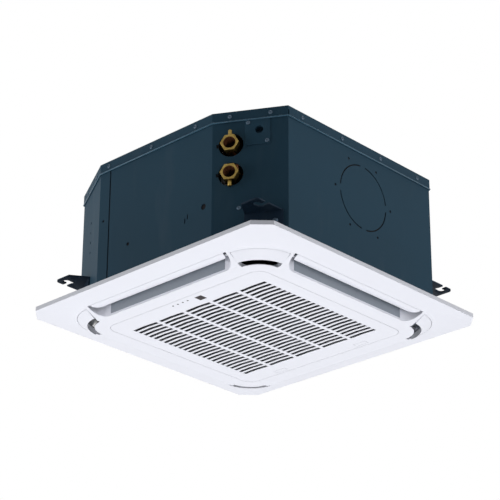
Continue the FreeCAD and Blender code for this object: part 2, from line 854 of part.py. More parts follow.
def hanger(label, side_x, side_y):
    """A bent plate whose slot opens sideways, so that a hung rod slips in and moves to its seat."""
    body = new_body(label.title().replace("_", ""))

    def placed(points):
        return [(f"{side_x} * ({x})", f"{side_y} * ({y})") for x, y in points]

    arm = [on_corner_face("hanger_start"), ("hanger_bend", TIP_Y), (f"{TIP_X} - hook_round", TIP_Y),
           (TIP_X, f"{TIP_Y} - hook_round"), on_corner_face(TIP_X)]
    pad(body, polygons(body, [placed(arm)]), "hanger_plate")
    tip = [(f"{TIP_X} - hook_round", f"{TIP_Y} - hook_round")]
    pad(body, circles(body, placed(tip), "hook_round"), "hanger_plate")
    leg = [on_corner_face("hanger_start"), on_corner_face(TIP_X),
           on_corner_face(TIP_X, "hanger_plate"), on_corner_face("hanger_start", "hanger_plate")]
    pad(body, polygons(body, [placed(leg)], "hanger_plate - hanger_leg"), "hanger_leg")

    half = "hook_width / 2"
    front_end = f"({ROD_Y} + hook_ahead - {half})"
    back_end = f"({front_end} - hook_slot + hook_width)"
    slot = rectangle(f"{ROD_X} - {half}", f"{ROD_X} + {half}", back_end, front_end)
    pocket(body, polygons(body, [placed(slot)]), "hanger_plate")
    side_step = f"(hook_seat / 2 - {half})"
    seat = [(f"{ROD_X} - {side_step}", ROD_Y), (f"{ROD_X} + {side_step}", ROD_Y)]
    for end in [(ROD_X, front_end), (ROD_X, back_end)] + seat:
        pocket(body, circles(body, placed([end]), half), "hanger_plate")
    near = f"{ROD_Y} - hook_mouth_shift"
    mouth = rectangle(ROD_X, f"{TIP_X} + overrun", f"{near} - hook_mouth", near)
    pocket(body, polygons(body, [placed(mouth)]), "hanger_plate")
    node(label, body)


def hanger_screws():
    """Two screws through the leg of each hanger."""
    _, front, _ = case_outline(SHEET_OUT)
    heads = []
    for side_x in (1, -1):
        for side_y in (1, -1):
            face = CornerFace(side_x, side_y)
            facing = FreeCAD.Rotation(UP, face.out)
            start = (size.hanger_start - value(front)) / abs(face.along.x)
            end = (value(TIP_X) - value(front)) / abs(face.along.x)
            margin = (end - start) * size.hanger_screw_share
            for along in (start + margin, end - margin):
                place = face.point(along, size.hanger_plate, size.hook_rise - size.hanger_screw_drop)
                heads.append(screw_head(place, facing, "hanger_screw_head", "hanger_screw_rise"))
    node("hanger_screws", fuse(heads))


# Pipe corner

def water_fitting(label, height, up):
    """A hexagonal brass fitting with a threaded mouth and a small bleed screw."""
    back = size.fitting_proud - size.fitting_length
    body = on_pipe_face("Prism", size.fitting_along, back, height, Polygon="6",
                        Circumradius="fitting_hex / sqrt(3)", Height="fitting_length")
    mouth = on_pipe_face("Cylinder", size.fitting_along, size.fitting_proud - size.thread_depth, height,
                         Radius="thread_radius", Height="thread_depth + overrun")
    seat = size.fitting_hex / 2 - size.bleed_depth
    facing = FreeCAD.Rotation(UP, UP * up)
    foot = PIPE_FACE.point(size.fitting_along, size.bleed_out, height + up * seat)
    hole = at(loose("Cylinder", Radius="bleed_radius + bleed_fit", Height="bleed_depth + overrun"),
              foot, facing)
    node("water_fitting_" + label, cut(body, [mouth, hole]))
    shank = at(loose("Cylinder", Radius="bleed_radius", Height="bleed_depth + bleed_fit"), foot, facing)
    top = foot + UP * up * (size.bleed_depth + size.bleed_fit)
    head = at(loose("Prism", Polygon="6", Circumradius="bleed_head", Height="bleed_height"), top, facing)
    node("bleed_screw_" + label, fuse([shank, head]))


def header(label, height, inset, low, high):
    """An upright collecting tube with its stub to the fitting and its branches to the fin pack."""
    axis = PIPE_FACE.point(size.fitting_along, -inset, low)
    trunk = at(loose("Cylinder", Radius="header_radius", Height="header_below + header_above"),
               axis, FreeCAD.Rotation())
    stub = on_pipe_face("Cylinder", size.fitting_along, -inset, height, Radius="header_radius",
                        Height=f"fitting_proud - fitting_length + ({high})")
    tubes = [trunk, stub]
    middle = low + (size.header_below + size.header_above) / 2
    facing = FreeCAD.Rotation(UP, FreeCAD.Vector(-1, 0, 0))
    for rise in row_places(size.branch_count, size.branch_pitch):
        tube = loose("Cylinder", Radius="branch_radius")
        tube.Height = axis.x - size.coil_end
        tubes.append(at(tube, FreeCAD.Vector(axis.x, axis.y, middle + rise + value(CASE)), facing))
    node(label, fuse(tubes))


def pipe_corner():
    water_fitting("upper", size.fitting_upper, 1)
    water_fitting("lower", size.fitting_lower, -1)
    header("coil_header_upper", size.fitting_upper, size.header_upper_inset,
           size.fitting_upper - size.header_below, "header_upper_inset")
    header("coil_header_lower", size.fitting_lower, size.header_lower_inset,
           size.fitting_lower - size.header_below, "header_lower_inset")


def drain_outlet():
    """A screwed plate with the spigot that the drain hose is pushed on from inside."""
    plate_start = size.drain_along - size.drain_plate_shift - size.drain_plate_width / 2
    plate = on_pipe_face("Box", plate_start, 0, size.drain_level - size.drain_plate_height / 2,
                         Length="drain_plate_width", Width="drain_plate_height", Height="drain_plate")
    level = size.drain_level + size.drain_hole_rise
    spigot = on_pipe_face("Cylinder", size.drain_along, -size.drain_length, level,
                          Radius="drain_bore + drain_wall", Height="drain_length")
    bore = on_pipe_face("Cylinder", size.drain_along, size.drain_plate - size.drain_depth, level,
                        Radius="drain_bore", Height="drain_depth + overrun")
    node("drain_outlet", cut(fuse([plate, spigot]), [bore]))


def case_screws():
    """Screws of the drain plate and a rivet by the hanger."""
    reach_x = size.drain_plate_width / 2 - size.drain_screw_margin
    reach_z = size.drain_plate_height / 2 - size.drain_screw_margin
    middle = size.drain_along - size.drain_plate_shift
    spots = [(middle + side * reach_x, size.drain_plate, size.drain_level - side * reach_z)
             for side in (1, -1)]
    spots.append((size.rivet_along, 0, size.rivet_level))
    facing = FreeCAD.Rotation(UP, PIPE_FACE.out)
    heads = [screw_head(PIPE_FACE.point(*spot), facing, "screw_head", "screw_rise") for spot in spots]
    node("case_screws", fuse(heads))


# Heat exchanger and drain

TROUGH_FLOOR = "(sheet + pan_height - trough_depth)"
PAN_TOP = "(sheet + pan_height)"


def coil_corner(half):
    """How much of a corner is cut off a square that runs level with the fin pack."""
    return f"(coil_cut - ({COIL_HALF} - ({half})) * (2 - sqrt(2)))"


def coil_fins():
    """The fin pack, bent round the fan and open at the pipe corner."""
    body = new_body("CoilFins", CASE)
    inner = f"({COIL_HALF} - coil_depth)"
    inner_cut = coil_corner(inner)
    outside = [("coil_end", f"-{COIL_HALF}"), (f"-{COIL_HALF} + coil_cut", f"-{COIL_HALF}"),
               (f"-{COIL_HALF}", f"-{COIL_HALF} + coil_cut"), (f"-{COIL_HALF}", f"{COIL_HALF} - coil_cut"),
               (f"-{COIL_HALF} + coil_cut", COIL_HALF), (f"{COIL_HALF} - coil_cut", COIL_HALF),
               (COIL_HALF, f"{COIL_HALF} - coil_cut"), (COIL_HALF, "-coil_end")]
    inside = [(inner, "-coil_end"), (inner, f"{inner} - {inner_cut}"), (f"{inner} - {inner_cut}", inner),
              (f"-{inner} + {inner_cut}", inner), (f"-{inner}", f"{inner} - {inner_cut}"),
              (f"-{inner}", f"-{inner} + {inner_cut}"), (f"-{inner} + {inner_cut}", f"-{inner}"),
              ("coil_end", f"-{inner}")]
    pad(body, polygons(body, [outside + inside], TROUGH_FLOOR), "coil_height")
    node("coil_fins", body)


def return_bends():
    """Hairpin bends on the far end of the fin pack."""
    facing = FreeCAD.Rotation(UP, 180)
    bends = []
    for index in range(int(size.bend_count)):
        level = f"{TROUGH_FLOOR} + coil_height / 2 + ({index} - (bend_count - 1) / 2) * bend_pitch"
        place = (f"{COIL_HALF} - coil_depth / 2", "-coil_end", level)
        bends.append(primitive("Torus", place, CASE, facing, Radius1="bend_radius", Radius2="branch_radius",
                               Angle3="180"))
    node("return_bends", fuse(bends))


def drain_pan():
    body = new_body("DrainPan", CASE)
    pad(body, polygons(body, [octagon(PAN_OUT)], "sheet"), "pan_height")
    opening = cut_square(PAN_OPENING, coil_corner(PAN_OPENING))
    pocket(body, polygons(body, [opening], "sheet"), "pan_height")
    inner = f"({PAN_OPENING} + trough_wall)"
    outer = f"({COIL_HALF} + trough_wall)"
    trough = [centred(outer, outer), cut_square(inner, coil_corner(inner))]
    pocket(body, polygons(body, trough, TROUGH_FLOOR), "trough_depth")
    pan_half, _, _ = case_outline(PAN_OUT)
    outlet = rectangle("-pan_outlet_half", "pan_outlet_half", f"-{pan_half} + pan_outlet_margin",
                       "-plateau_half")
    pocket(body, polygons(body, all_round(outlet), "sheet"), "pan_height")
    node("drain_pan", body)


def bell_mouth():
    body = new_body("BellMouth", CASE)
    half = f"({PAN_OPENING} + trough_wall - foam_fit)"
    pad(body, polygons(body, [cut_square(half, coil_corner(half))], PAN_TOP), "mouth_plate")
    pocket(body, circles(body, [("0", "0")], "mouth_flare - mouth_wall", PAN_TOP), "mouth_plate")
    reach = "(mouth_flare - mouth_throat)"
    top = f"({PAN_TOP} + mouth_height)"
    knee = f"({PAN_TOP} + {reach})"
    slant = f"{reach} * (1 - sin(45))"
    inside = [("mouth_throat", top), ("mouth_throat", knee),
              (f"mouth_throat + {slant}", f"{PAN_TOP} + {slant}"), ("mouth_flare", PAN_TOP)]
    outer_slant = f"{slant} + mouth_wall * sin(45)"
    outside = [("mouth_flare", f"{PAN_TOP} + mouth_plate"),
               (f"mouth_throat + {outer_slant}", f"{PAN_TOP} + {outer_slant}"),
               ("mouth_throat + mouth_wall", f"{knee} + mouth_wall"), ("mouth_throat + mouth_wall", top)]
    revolve(body, inside + outside)
    node("bell_mouth", body)


def pump_place():
    return PIPE_FACE.point(size.drain_along, -size.pump_inset, 0)


def drain_pump():
    """The lift pump standing in the trough, with the guide pin of its float switch."""
    foot = pump_place()
    x, y = foot.x, foot.y
    still = FreeCAD.Rotation()

    def stand(radius, low, height):
        low_level = value(f"{low} + ({CASE})")
        return at(loose("Cylinder", Radius=radius, Height=height), FreeCAD.Vector(x, y, low_level), still)

    pin_y = y - size.pump_arm
    arm_low = value(f"pump_low + ({CASE})")
    arm = at(loose("Box", Length="pump_arm_width", Width="pump_arm + pump_arm_width / 2",
                   Height="pump_arm_thick"),
             FreeCAD.Vector(x - size.pump_arm_width / 2, pin_y - size.pump_arm_width / 2, arm_low), still)
    collar_low = value(f"float_level - float_collar + ({CASE})")
    pin = at(loose("Cylinder", Radius="float_pin", Height="pump_low - float_level + float_collar"),
             FreeCAD.Vector(x, pin_y, collar_low), still)
    collar = at(loose("Cylinder", Radius="float_collar", Height="float_collar - float_fit"),
                FreeCAD.Vector(x, pin_y, collar_low), still)
    foot_item = stand("pump_foot", TROUGH_FLOOR, f"pump_low - {TROUGH_FLOOR}")
    motor = stand("pump_radius", "pump_low", "pump_height")
    node("drain_pump", fuse([foot_item, motor, arm, pin, collar]))
    level = value(f"float_level + ({CASE})")
    shell = at(loose("Cylinder", Radius="float_radius", Height="float_height"),
               FreeCAD.Vector(x, pin_y, level), still)
    hole = at(loose("Cylinder", Radius="float_pin + float_fit", Height="float_height"),
              FreeCAD.Vector(x, pin_y, level), still)
    node("pump_float", cut(shell, [hole]))


def drain_hose():
    """The hose up from the pump and out to the drain outlet."""
    foot = pump_place()
    low = value(f"pump_low + pump_height + ({CASE})")
    level = value(f"drain_level + drain_hole_rise + ({CASE})")
    out = PIPE_FACE.out
    rise = at(loose("Cylinder", Radius="hose_radius",
                    Height="drain_level + drain_hole_rise - hose_bend - pump_low - pump_height"),
              FreeCAD.Vector(foot.x, foot.y, low), FreeCAD.Rotation())
    centre = FreeCAD.Vector(foot.x, foot.y, level - size.hose_bend) + out * size.hose_bend
    bend = at(loose("Torus", Radius1="hose_bend", Radius2="hose_radius", Angle3="90"), centre,
              FreeCAD.Rotation(out * -1, UP, (out * -1).cross(UP), "ZXY"))
    start = FreeCAD.Vector(foot.x, foot.y, level) + out * size.hose_bend
    run = at(loose("Cylinder", Radius="hose_radius", Height="pump_inset - hose_bend - drain_length"),
             start, FreeCAD.Rotation(UP, out))
    node("drain_hose", fuse([rise, bend, run]))


# Fan

def turbo_fan():
    body = new_body("TurboFan", CASE)
    boss_top = "(fan_boss_low + fan_boss_height)"
    top = "(fan_plate_level + fan_plate)"
    hub = [("shaft_radius", "fan_boss_low"), ("fan_boss", "fan_boss_low"),
           ("fan_boss", f"{boss_top} - fan_plate"), ("fan_cone", "fan_plate_level"),
           ("fan_radius", "fan_plate_level"), ("fan_radius", top),
           ("fan_cone - fan_plate", top), ("fan_boss - fan_plate", boss_top), ("shaft_radius", boss_top)]
    revolve(body, hub)
    foot = "(fan_shroud_low + fan_shroud_rise)"
    spread = "(fan_blade / fan_blade_inner * 180 / pi)"

    def polar(radius, turn):
        return (f"({radius}) * cos({turn})", f"({radius}) * sin({turn})")

    rim = "(fan_radius - fan_plate)"
    blade = [polar("fan_blade_inner", "0"), polar("fan_blade_mid", "-blade_mid_turn"),
             polar(rim, "-blade_tip_turn"), polar(rim, f"{spread} - blade_tip_turn"),
             polar("fan_blade_mid", f"{spread} - blade_mid_turn"), polar("fan_blade_inner", spread)]
    sketch = polygons(body, [blade], foot)
    wing = pad(body, sketch, f"fan_plate_level + fan_plate / 2 - {foot}")
    DOC.recompute()
    ring = body.newObject("PartDesign::PolarPattern", "Blades")
    ring.Originals = [wing]
    ring.Axis = (sketch, ["N_Axis"])
    ring.Angle = 360
    ring.setExpression("Occurrences", linked("fan_blades"))
    body.Tip = ring
    DOC.recompute()
    shroud = [("fan_inlet", "fan_shroud_low"), ("fan_inlet + fan_plate", "fan_shroud_low"),
              ("fan_inlet + fan_plate", f"{foot} - fan_plate"), ("fan_radius", f"{foot} - fan_plate / 2"),
              ("fan_radius", f"{foot} + fan_plate / 2"), ("fan_inlet", f"{foot} + fan_plate / 2")]
    revolve(body, shroud)
    node("turbo_fan", body)


def fan_drive():
    shaft = cylinder(("0", "0", "shaft_low"), "shaft_radius", "shaft_high - shaft_low", CASE)
    node("motor_shaft", shaft)
    nut = primitive("Prism", ("0", "0", "fan_boss_low - nut_height"), CASE, Polygon="6",
                    Circumradius="nut_hex / sqrt(3)", Height="nut_height")
    hole = cylinder(("0", "0", "fan_boss_low - nut_height"), "shaft_radius", "nut_height", CASE)
    node("fan_nut", cut(nut, [hole]))
    body = new_body("FanMotor", CASE)
    bore = "(shaft_radius + shaft_fit)"
    top = "(motor_flange_level + motor_flange_thick)"
    end = "(shaft_high + shaft_fit)"
    profile = [(bore, "motor_nose_low"), ("motor_nose", "motor_nose_low"), ("motor_nose", "motor_low"),
               ("motor_radius", "motor_low"), ("motor_radius", "motor_flange_level"),
               ("motor_flange", "motor_flange_level"), ("motor_flange", top), ("0", top), ("0", end),
               (bore, end)]
    revolve(body, profile)
    node("fan_motor", body)
    mounts = []
    for index in range(int(size.mount_count)):
        turn = f"{index} * 360 / mount_count"
        place = (f"mount_place * cos({turn})", f"mount_place * sin({turn})", top)
        mounts.append(cylinder(place, "mount_radius", f"{COVER_UNDER} - {top}", CASE))
    node("motor_mounts", fuse(mounts))


# Electrics

BOX_LOW = f"({PAN_TOP} - box_height)"


def control_box():
    body = new_body("ControlBox", CASE)
    outer = rectangle(BOX_INNER, BOX_OUTER, "-box_half_y", "box_half_y")
    inner = rectangle(f"{BOX_INNER} + box_wall", f"{BOX_OUTER} - box_wall", "-box_half_y + box_wall",
                      "box_half_y - box_wall")
    pad(body, polygons(body, [outer], BOX_LOW), "box_height")
    pocket(body, polygons(body, [inner], BOX_LOW), "box_height - box_wall")
    facing = FreeCAD.Rotation(UP, FreeCAD.Vector(0, -1, 0))
    middle = f"({BOX_INNER} + {BOX_OUTER}) / 2"
    level = f"{BOX_LOW} + box_height / 2"
    entry = cylinder((middle, "-box_half_y + box_wall + overrun", level), "gland_radius",
                     "box_wall + 2 * overrun", CASE, facing)
    node("control_box", cut(body, [entry]))
    lid = box((BOX_INNER, "-box_half_y", f"{BOX_LOW} - box_cover"), (BOX_OUTER, "box_half_y", BOX_LOW), CASE)
    node("control_box_cover", lid)
    shelf = f"({PAN_TOP} - box_wall)"
    board_x = (f"{BOX_INNER} + board_margin", f"{BOX_OUTER} - board_margin")
    board_y = ("-box_half_y * board_front_share", "box_half_y - board_margin")
    board = box((board_x[0], board_y[0], f"{shelf} - board_gap - board_thick"),
                (board_x[1], board_y[1], f"{shelf} - board_gap"), CASE)
    posts = [cylinder((x, y, f"{shelf} - board_gap"), "board_margin / 2", "board_gap", CASE)
             for x in (f"{board_x[0]} + board_margin", f"{board_x[1]} - board_margin")
             for y in (f"{board_y[0]} + board_margin", f"{board_y[1]} - board_margin")]
    node("circuit_board", fuse([board] + posts))
    block_y = "(-box_half_y + board_margin + gland_length)"
    block = box((f"{middle} - terminal_width / 2", block_y, f"{shelf} - terminal_height"),
                (f"{middle} + terminal_width / 2", f"{block_y} + terminal_length", shelf), CASE)
    node("terminal_block", block)
    gland = (middle, "-box_half_y + box_wall", level)
    ring = cylinder(gland, "gland_radius - cover_fit", "gland_length", CASE, facing)
    hole = cylinder(gland, "gland_bore", "gland_length", CASE, facing)
    node("cable_gland", cut(ring, [hole]))


# Panel

def rounded_square(half, radius, level):
    """A square wire with round corners, starting on the front edge."""
    flat = half - radius
    bulge = flat + radius * math.sqrt(0.5)
    edges = []
    for turns in range(4):
        turn = FreeCAD.Rotation(UP, 90 * turns)
        ends = [FreeCAD.Vector(-flat, -half, level), FreeCAD.Vector(flat, -half, level),
                FreeCAD.Vector(bulge, -bulge, level), FreeCAD.Vector(half, -flat, level)]
        start, end, middle, finish = [turn.multVec(place) for place in ends]
        edges.append(Part.makeLine(start, end))
        edges.append(Part.Arc(end, middle, finish).toShape())
    return Part.Wire(edges)


def chamfered_square(half, corner, level):
    """A square wire with its corners cut off, starting on the front edge."""
    flat = half - corner
    edges = []
    for turns in range(4):
        turn = FreeCAD.Rotation(UP, 90 * turns)
        ends = [FreeCAD.Vector(-flat, -half, level), FreeCAD.Vector(flat, -half, level),
                FreeCAD.Vector(half, -flat, level)]
        start, end, finish = [turn.multVec(place) for place in ends]
        edges.append(Part.makeLine(start, end))
        edges.append(Part.makeLine(end, finish))
    return Part.Wire(edges)


def solid_between(low, high):
    return Part.makeLoft([low, high], True, True)


def prism(wire, height):
    return Part.Face(wire).extrude(FreeCAD.Vector(0, 0, height))


def slot_outline(half, outer, inner, radius, level):
    """The plan of an outlet on the front side: square at its outer edge and round at its inner corners."""
    flat = half - radius
    bend = radius * math.sqrt(0.5)
    hub = -(inner + radius)
    points = [FreeCAD.Vector(-half, -outer, level), FreeCAD.Vector(half, -outer, level),
              FreeCAD.Vector(half, hub, level), FreeCAD.Vector(flat + bend, hub + bend, level),
              FreeCAD.Vector(flat, -inner, level), FreeCAD.Vector(-flat, -inner, level),
              FreeCAD.Vector(-flat - bend, hub + bend, level), FreeCAD.Vector(-half, hub, level)]
    edges = [Part.makeLine(points[0], points[1]), Part.makeLine(points[1], points[2]),
             Part.Arc(points[2], points[3], points[4]).toShape(), Part.makeLine(points[4], points[5]),
             Part.Arc(points[5], points[6], points[7]).toShape(), Part.makeLine(points[7], points[0])]
    return Part.Wire(edges)


def four(shape):
    """The shape on all four sides."""
    copies = []
    for turns in range(4):
        copy = shape.copy()
        copy.rotate(FreeCAD.Vector(), UP, 90 * turns)
        copies.append(copy)
    return copies


def sector(inner, outer, low, high, end_turn):
    """Part of a ring about the centre of the back right corner's rounding."""
    hub = value(ROUND_CENTRE)
    points = [FreeCAD.Vector(inner, 0, low), FreeCAD.Vector(outer, 0, low),
              FreeCAD.Vector(outer, 0, high), FreeCAD.Vector(inner, 0, high)]
    ring = Part.Face(Part.makePolygon(points + points[:1])).revolve(FreeCAD.Vector(), UP, 90 - 2 * end_turn)
    ring.rotate(FreeCAD.Vector(), UP, end_turn)
    ring.translate(FreeCAD.Vector(hub, hub, 0))
    return ring


def panel_frame():
    """The white domed frame: rim, sloping skin, outlet ribs and the flat border round the grille."""
    rim = size.panel_side / 2
    hub = value(ROUND_CENTRE)
    depth = size.dome_depth
    ring_level = -size.ring_depth
    slope = (depth - size.ring_depth) / (size.ring_half - size.plateau_half)
    outer = prism(chamfered_square(rim, size.panel_corner, 0), size.rim_height)
    edge = rounded_square(size.ring_half, size.ring_half - hub, ring_level)
    outer = outer.fuse(solid_between(chamfered_square(rim, size.panel_corner, 0), edge))
    foot = rounded_square(size.plateau_half, size.plateau_round, -depth)
    outer = outer.fuse(solid_between(edge, foot))

    inner_rim = rim - size.skin
    inner_corner = size.panel_corner - size.skin * (2 - math.sqrt(2))
    shelf = size.skin
    bend_half = size.ring_half - size.skin / 2
    bend_level = ring_level + size.skin
    floor_level = size.plateau_thick - depth
    floor_half = size.plateau_half + size.plateau_thick / slope - size.skin / math.sin(math.atan(slope))
    lid = chamfered_square(inner_rim, inner_corner, shelf)
    bend = rounded_square(bend_half, bend_half - hub, bend_level)
    floor = rounded_square(floor_half, floor_half - hub, floor_level)
    hollow = prism(lid, size.rim_height - shelf + size.overrun)
    hollow = hollow.fuse([solid_between(lid, bend), solid_between(bend, floor)])
    opening = prism(rounded_square(size.grille_half + size.grille_fit, size.grille_round + size.grille_fit,
                                   -depth - size.overrun), depth)
    shell = outer.cut([hollow, opening])

    deep = depth + size.rim_height
    rib = Part.makeBox(value(RIB_END) - size.rib_start,
                       size.ring_half - size.plateau_half + 2 * size.rib_margin, deep,
                       FreeCAD.Vector(size.rib_start, -size.ring_half - size.rib_margin, -depth))
    mirrored = rib.mirror(FreeCAD.Vector(), FreeCAD.Vector(1, 0, 0))
    ribs = [outer.common(block) for block in four(rib) + four(mirrored)]
    shell = shell.fuse(ribs)

    outlet = prism(slot_outline(size.outlet_half, size.ring_half, size.plateau_half, size.outlet_round,
                                -depth - size.overrun), deep + 2 * size.overrun)
    pocket_cut = sector(size.plateau_round - size.slot_inset, size.cover_round, -depth - size.overrun,
                        size.rim_height + size.overrun, size.slot_end_turn)
    bearing = Part.makeCylinder(size.pin_radius + size.pin_fit, 2 * size.case_side,
                                FreeCAD.Vector(-size.case_side, -size.pivot_place, size.pivot_level),
                                FreeCAD.Vector(1, 0, 0))
    pin_end = size.grille_half + size.grille_pin_reach + size.grille_pin_end
    hinge = Part.makeCylinder(size.grille_pin_radius + size.grille_pin_fit, 2 * pin_end,
                              FreeCAD.Vector(-pin_end, value(GRILLE_PIN_Y), value(GRILLE_PIN_Z)),
                              FreeCAD.Vector(1, 0, 0))
    sill = Part.makeBox(2 * size.rib_start, size.guide_lap + size.guide_fit + size.overrun,
                        size.plateau_thick - size.guide_sill + size.overrun,
                        FreeCAD.Vector(-size.rib_start, -size.plateau_half - size.overrun,
                                       size.guide_sill - depth))
    under = sector(size.plateau_round - size.slot_under, size.cover_round, size.slot_lip - depth,
                   floor_level + size.overrun, size.slot_end_turn)
    reach = value(MOTOR_START)
    bearing = bearing.common(Part.makeBox(2 * reach, size.panel_side, size.panel_side,
                                          FreeCAD.Vector(-reach, -size.panel_side, -depth)))
    shell = shell.cut(four(outlet) + four(pocket_cut) + four(bearing) + four(sill) + four(under) + [hinge])

    far = size.cover_round + size.skin
    roof_top = size.roof_level + size.roof_thick
    wall = sector(size.cover_round, far, ring_level, roof_top, size.slot_end_turn)
    roof = sector(size.roof_inner, far, size.roof_level, roof_top, size.roof_end_turn)
    shell = shell.fuse(four(wall) + four(roof))
    holes = [Part.makeCylinder(size.panel_screw_radius + size.panel_screw_fit, 2 * size.roof_thick,
                               FreeCAD.Vector(value(x), value(y), size.roof_level - size.roof_thick / 2))
             for x, y in SCREW_PLACES]
    shell = shell.cut(holes).removeSplitter()
    shaped("panel_frame", shell, PANEL)


CORNERS = ("back_right", "back_left", "front_left", "front_right")
SIDES = ("front", "right", "back", "left")


def corner_cover(label, turns):
    """A ramp that closes one corner of the dome, with a lip along the corner slot that it leaves open."""
    body = new_body(label.title().replace("_", ""), PANEL)
    out = "(cover_round - corner_fit)"
    fall = "((dome_depth - ring_depth) / (ring_half - plateau_half))"
    top_depth = f"(dome_depth - (cover_round - plateau_round) * {fall})"
    lip = "(slot_round + corner_lip_thick)"
    profile = [(out, f"-{top_depth}"), ("slot_round", "-slot_edge_depth"),
               ("slot_round", "corner_lip - slot_edge_depth"), (lip, "corner_lip - slot_edge_depth"),
               (lip, f"corner_skin - slot_edge_depth + corner_lip_thick * {fall}"),
               (f"{out} - corner_leg", f"corner_skin - {top_depth}"),
               (f"{out} - corner_leg", "roof_level"), (out, "roof_level")]
    end = "(slot_end_turn + corner_fit / cover_round * 180 / pi)"
    revolve(body, profile, f"90 - 2 * {end}")
    turn = FreeCAD.Rotation(UP, value(end) + 90 * turns)
    hub = value(ROUND_CENTRE)
    place = FreeCAD.Rotation(UP, 90 * turns).multVec(FreeCAD.Vector(hub, hub, 0))
    body.Placement = FreeCAD.Placement(FreeCAD.Vector(place.x, place.y, value(PANEL)), turn)
    node(label, body)


def louvre(label, turns):
    """A curved blade on two pins, closed: its outer edge flush with the skin."""
    outer = -(size.ring_half - size.louvre_gap)
    inner = -size.louvre_inner
    low, high = -size.ring_depth, -size.louvre_inner_depth
    run = FreeCAD.Vector(0, inner - outer, high - low)
    sag = FreeCAD.Vector(0, run.z, -run.y).normalize() * size.louvre_bulge
    start = FreeCAD.Vector(-size.louvre_half, outer, low)
    lift = FreeCAD.Vector(0, 0, size.louvre_thick)
    under = Part.Arc(start, start + run * 0.5 + sag, start + run).toShape()
    over = Part.Arc(start + run + lift, start + run * 0.5 + sag + lift, start + lift).toShape()
    edges = [under, Part.makeLine(start + run, start + run + lift), over, Part.makeLine(start + lift, start)]
    strip = Part.Face(Part.Wire(edges)).extrude(FreeCAD.Vector(2 * size.louvre_half, 0, 0))
    plan = prism(slot_outline(size.louvre_half, size.ring_half + size.louvre_round, size.louvre_inner,
                              size.louvre_round, -size.dome_depth), 2 * size.dome_depth)
    blade = strip.common(plan)
    pieces = []
    for side, end in ((1, value(MOTOR_START) + size.pin_seat), (-1, value(RIB_END) - size.pin_short)):
        low_x = size.tab_place if side > 0 else -size.tab_place - size.tab_width
        tab = Part.makeBox(size.tab_width, 2 * size.tab_half, size.pivot_level + size.pin_radius - low,
                           FreeCAD.Vector(low_x, -size.pivot_place - size.tab_half, low))
        below = strip.copy()
        below.translate(lift * -1)
        tab = tab.cut(below)
        tab = max(tab.Solids, key=lambda solid: solid.CenterOfMass.z)
        pin_start = size.tab_place if side > 0 else -end
        pin = Part.makeCylinder(size.pin_radius, end - size.tab_place,
                                FreeCAD.Vector(pin_start, -size.pivot_place, size.pivot_level),
                                FreeCAD.Vector(1, 0, 0))
        pieces += [tab, pin]
    shaped(label, blade.fuse(pieces).removeSplitter(), PANEL, turns)


def louvre_motor(label, turns):
    """The small geared motor at the end of a louvre."""
    start = FreeCAD.Vector(value(MOTOR_START), -size.pivot_place, size.pivot_level)
    turn = FreeCAD.Rotation(UP, 90 * turns)
    along = turn.multVec(FreeCAD.Vector(1, 0, 0))
    place = turn.multVec(start) + UP * value(PANEL)
    drum = at(loose("Cylinder", Radius="louvre_motor_radius", Height="louvre_motor_length"), place,
              FreeCAD.Rotation(UP, along))
    hole = at(loose("Cylinder", Radius="pin_radius + pin_fit", Height="pin_seat + overrun"), place,
              FreeCAD.Rotation(UP, along))
    node(label, cut(drum, [hole]))


GUIDE_LOW = "rim_height"
GUIDE_TOP = "(rim_height + guide_thick)"


def duct_ring(body, low, height):
    """A flat ring with the four outlets, the corner slots and the screw holes cut through."""
    ring = [cut_square("guide_outer", "guide_corner"), cut_square("guide_inner", "guide_corner / 2")]
    pad(body, polygons(body, ring, low), height)
    near = "-plateau_half"
    far = "-ring_half - guide_fit"
    knee = "(outlet_half - outlet_round)"
    outlet = [("-outlet_half", far), ("outlet_half", far), ("outlet_half", f"{near} - outlet_round"),
              (knee, near), (f"-{knee}", near), ("-outlet_half", f"{near} - outlet_round")]
    pocket(body, polygons(body, all_round(outlet), low), height)
    pocket(body, circles(body, SCREW_PLACES, "guide_hole", low), height)


def air_guide():
    """The grey lining of the outlets, seated on the ribs of the frame."""
    body = new_body("AirGuide", PANEL)
    duct_ring(body, GUIDE_LOW, "guide_thick")
    around = "(louvre_motor_radius + guide_fit)"
    motor = rectangle(f"{MOTOR_START} - guide_fit", f"{MOTOR_START} + louvre_motor_length + guide_fit",
                      f"-pivot_place - {around}", f"{around} - pivot_place")
    pocket(body, polygons(body, all_round(motor), GUIDE_LOW), f"pivot_level + {around} - {GUIDE_LOW}")
    span = "(rib_start - guide_fit)"
    inner_wall = rectangle(f"-{span}", span, "-plateau_half", "-guide_inner")
    floor = "guide_sill - dome_depth"
    pad(body, polygons(body, all_round(inner_wall), floor), f"{GUIDE_LOW} - ({floor})")
    node("air_guide", body)


def panel_seal():
    body = new_body("PanelSeal", PANEL)
    duct_ring(body, GUIDE_TOP, "body_gap - guide_thick")
    node("panel_seal", body)


def panel_screws():
    """Long screws from the corner roofs up to the case's lip."""
    screws = []
    for x, y in SCREW_PLACES:
        shank = cylinder((x, y, "roof_level"), "panel_screw_radius",
                         "rim_height + body_gap + sheet - roof_level", PANEL)
        head = cylinder((x, y, "roof_level - panel_screw_rise"), "panel_screw_head", "panel_screw_rise",
                        PANEL)
        screws += [shank, head]
    node("panel_screws", fuse(screws))


# Intake grille

GRILLE_TOP = "(grille_thick - dome_depth)"


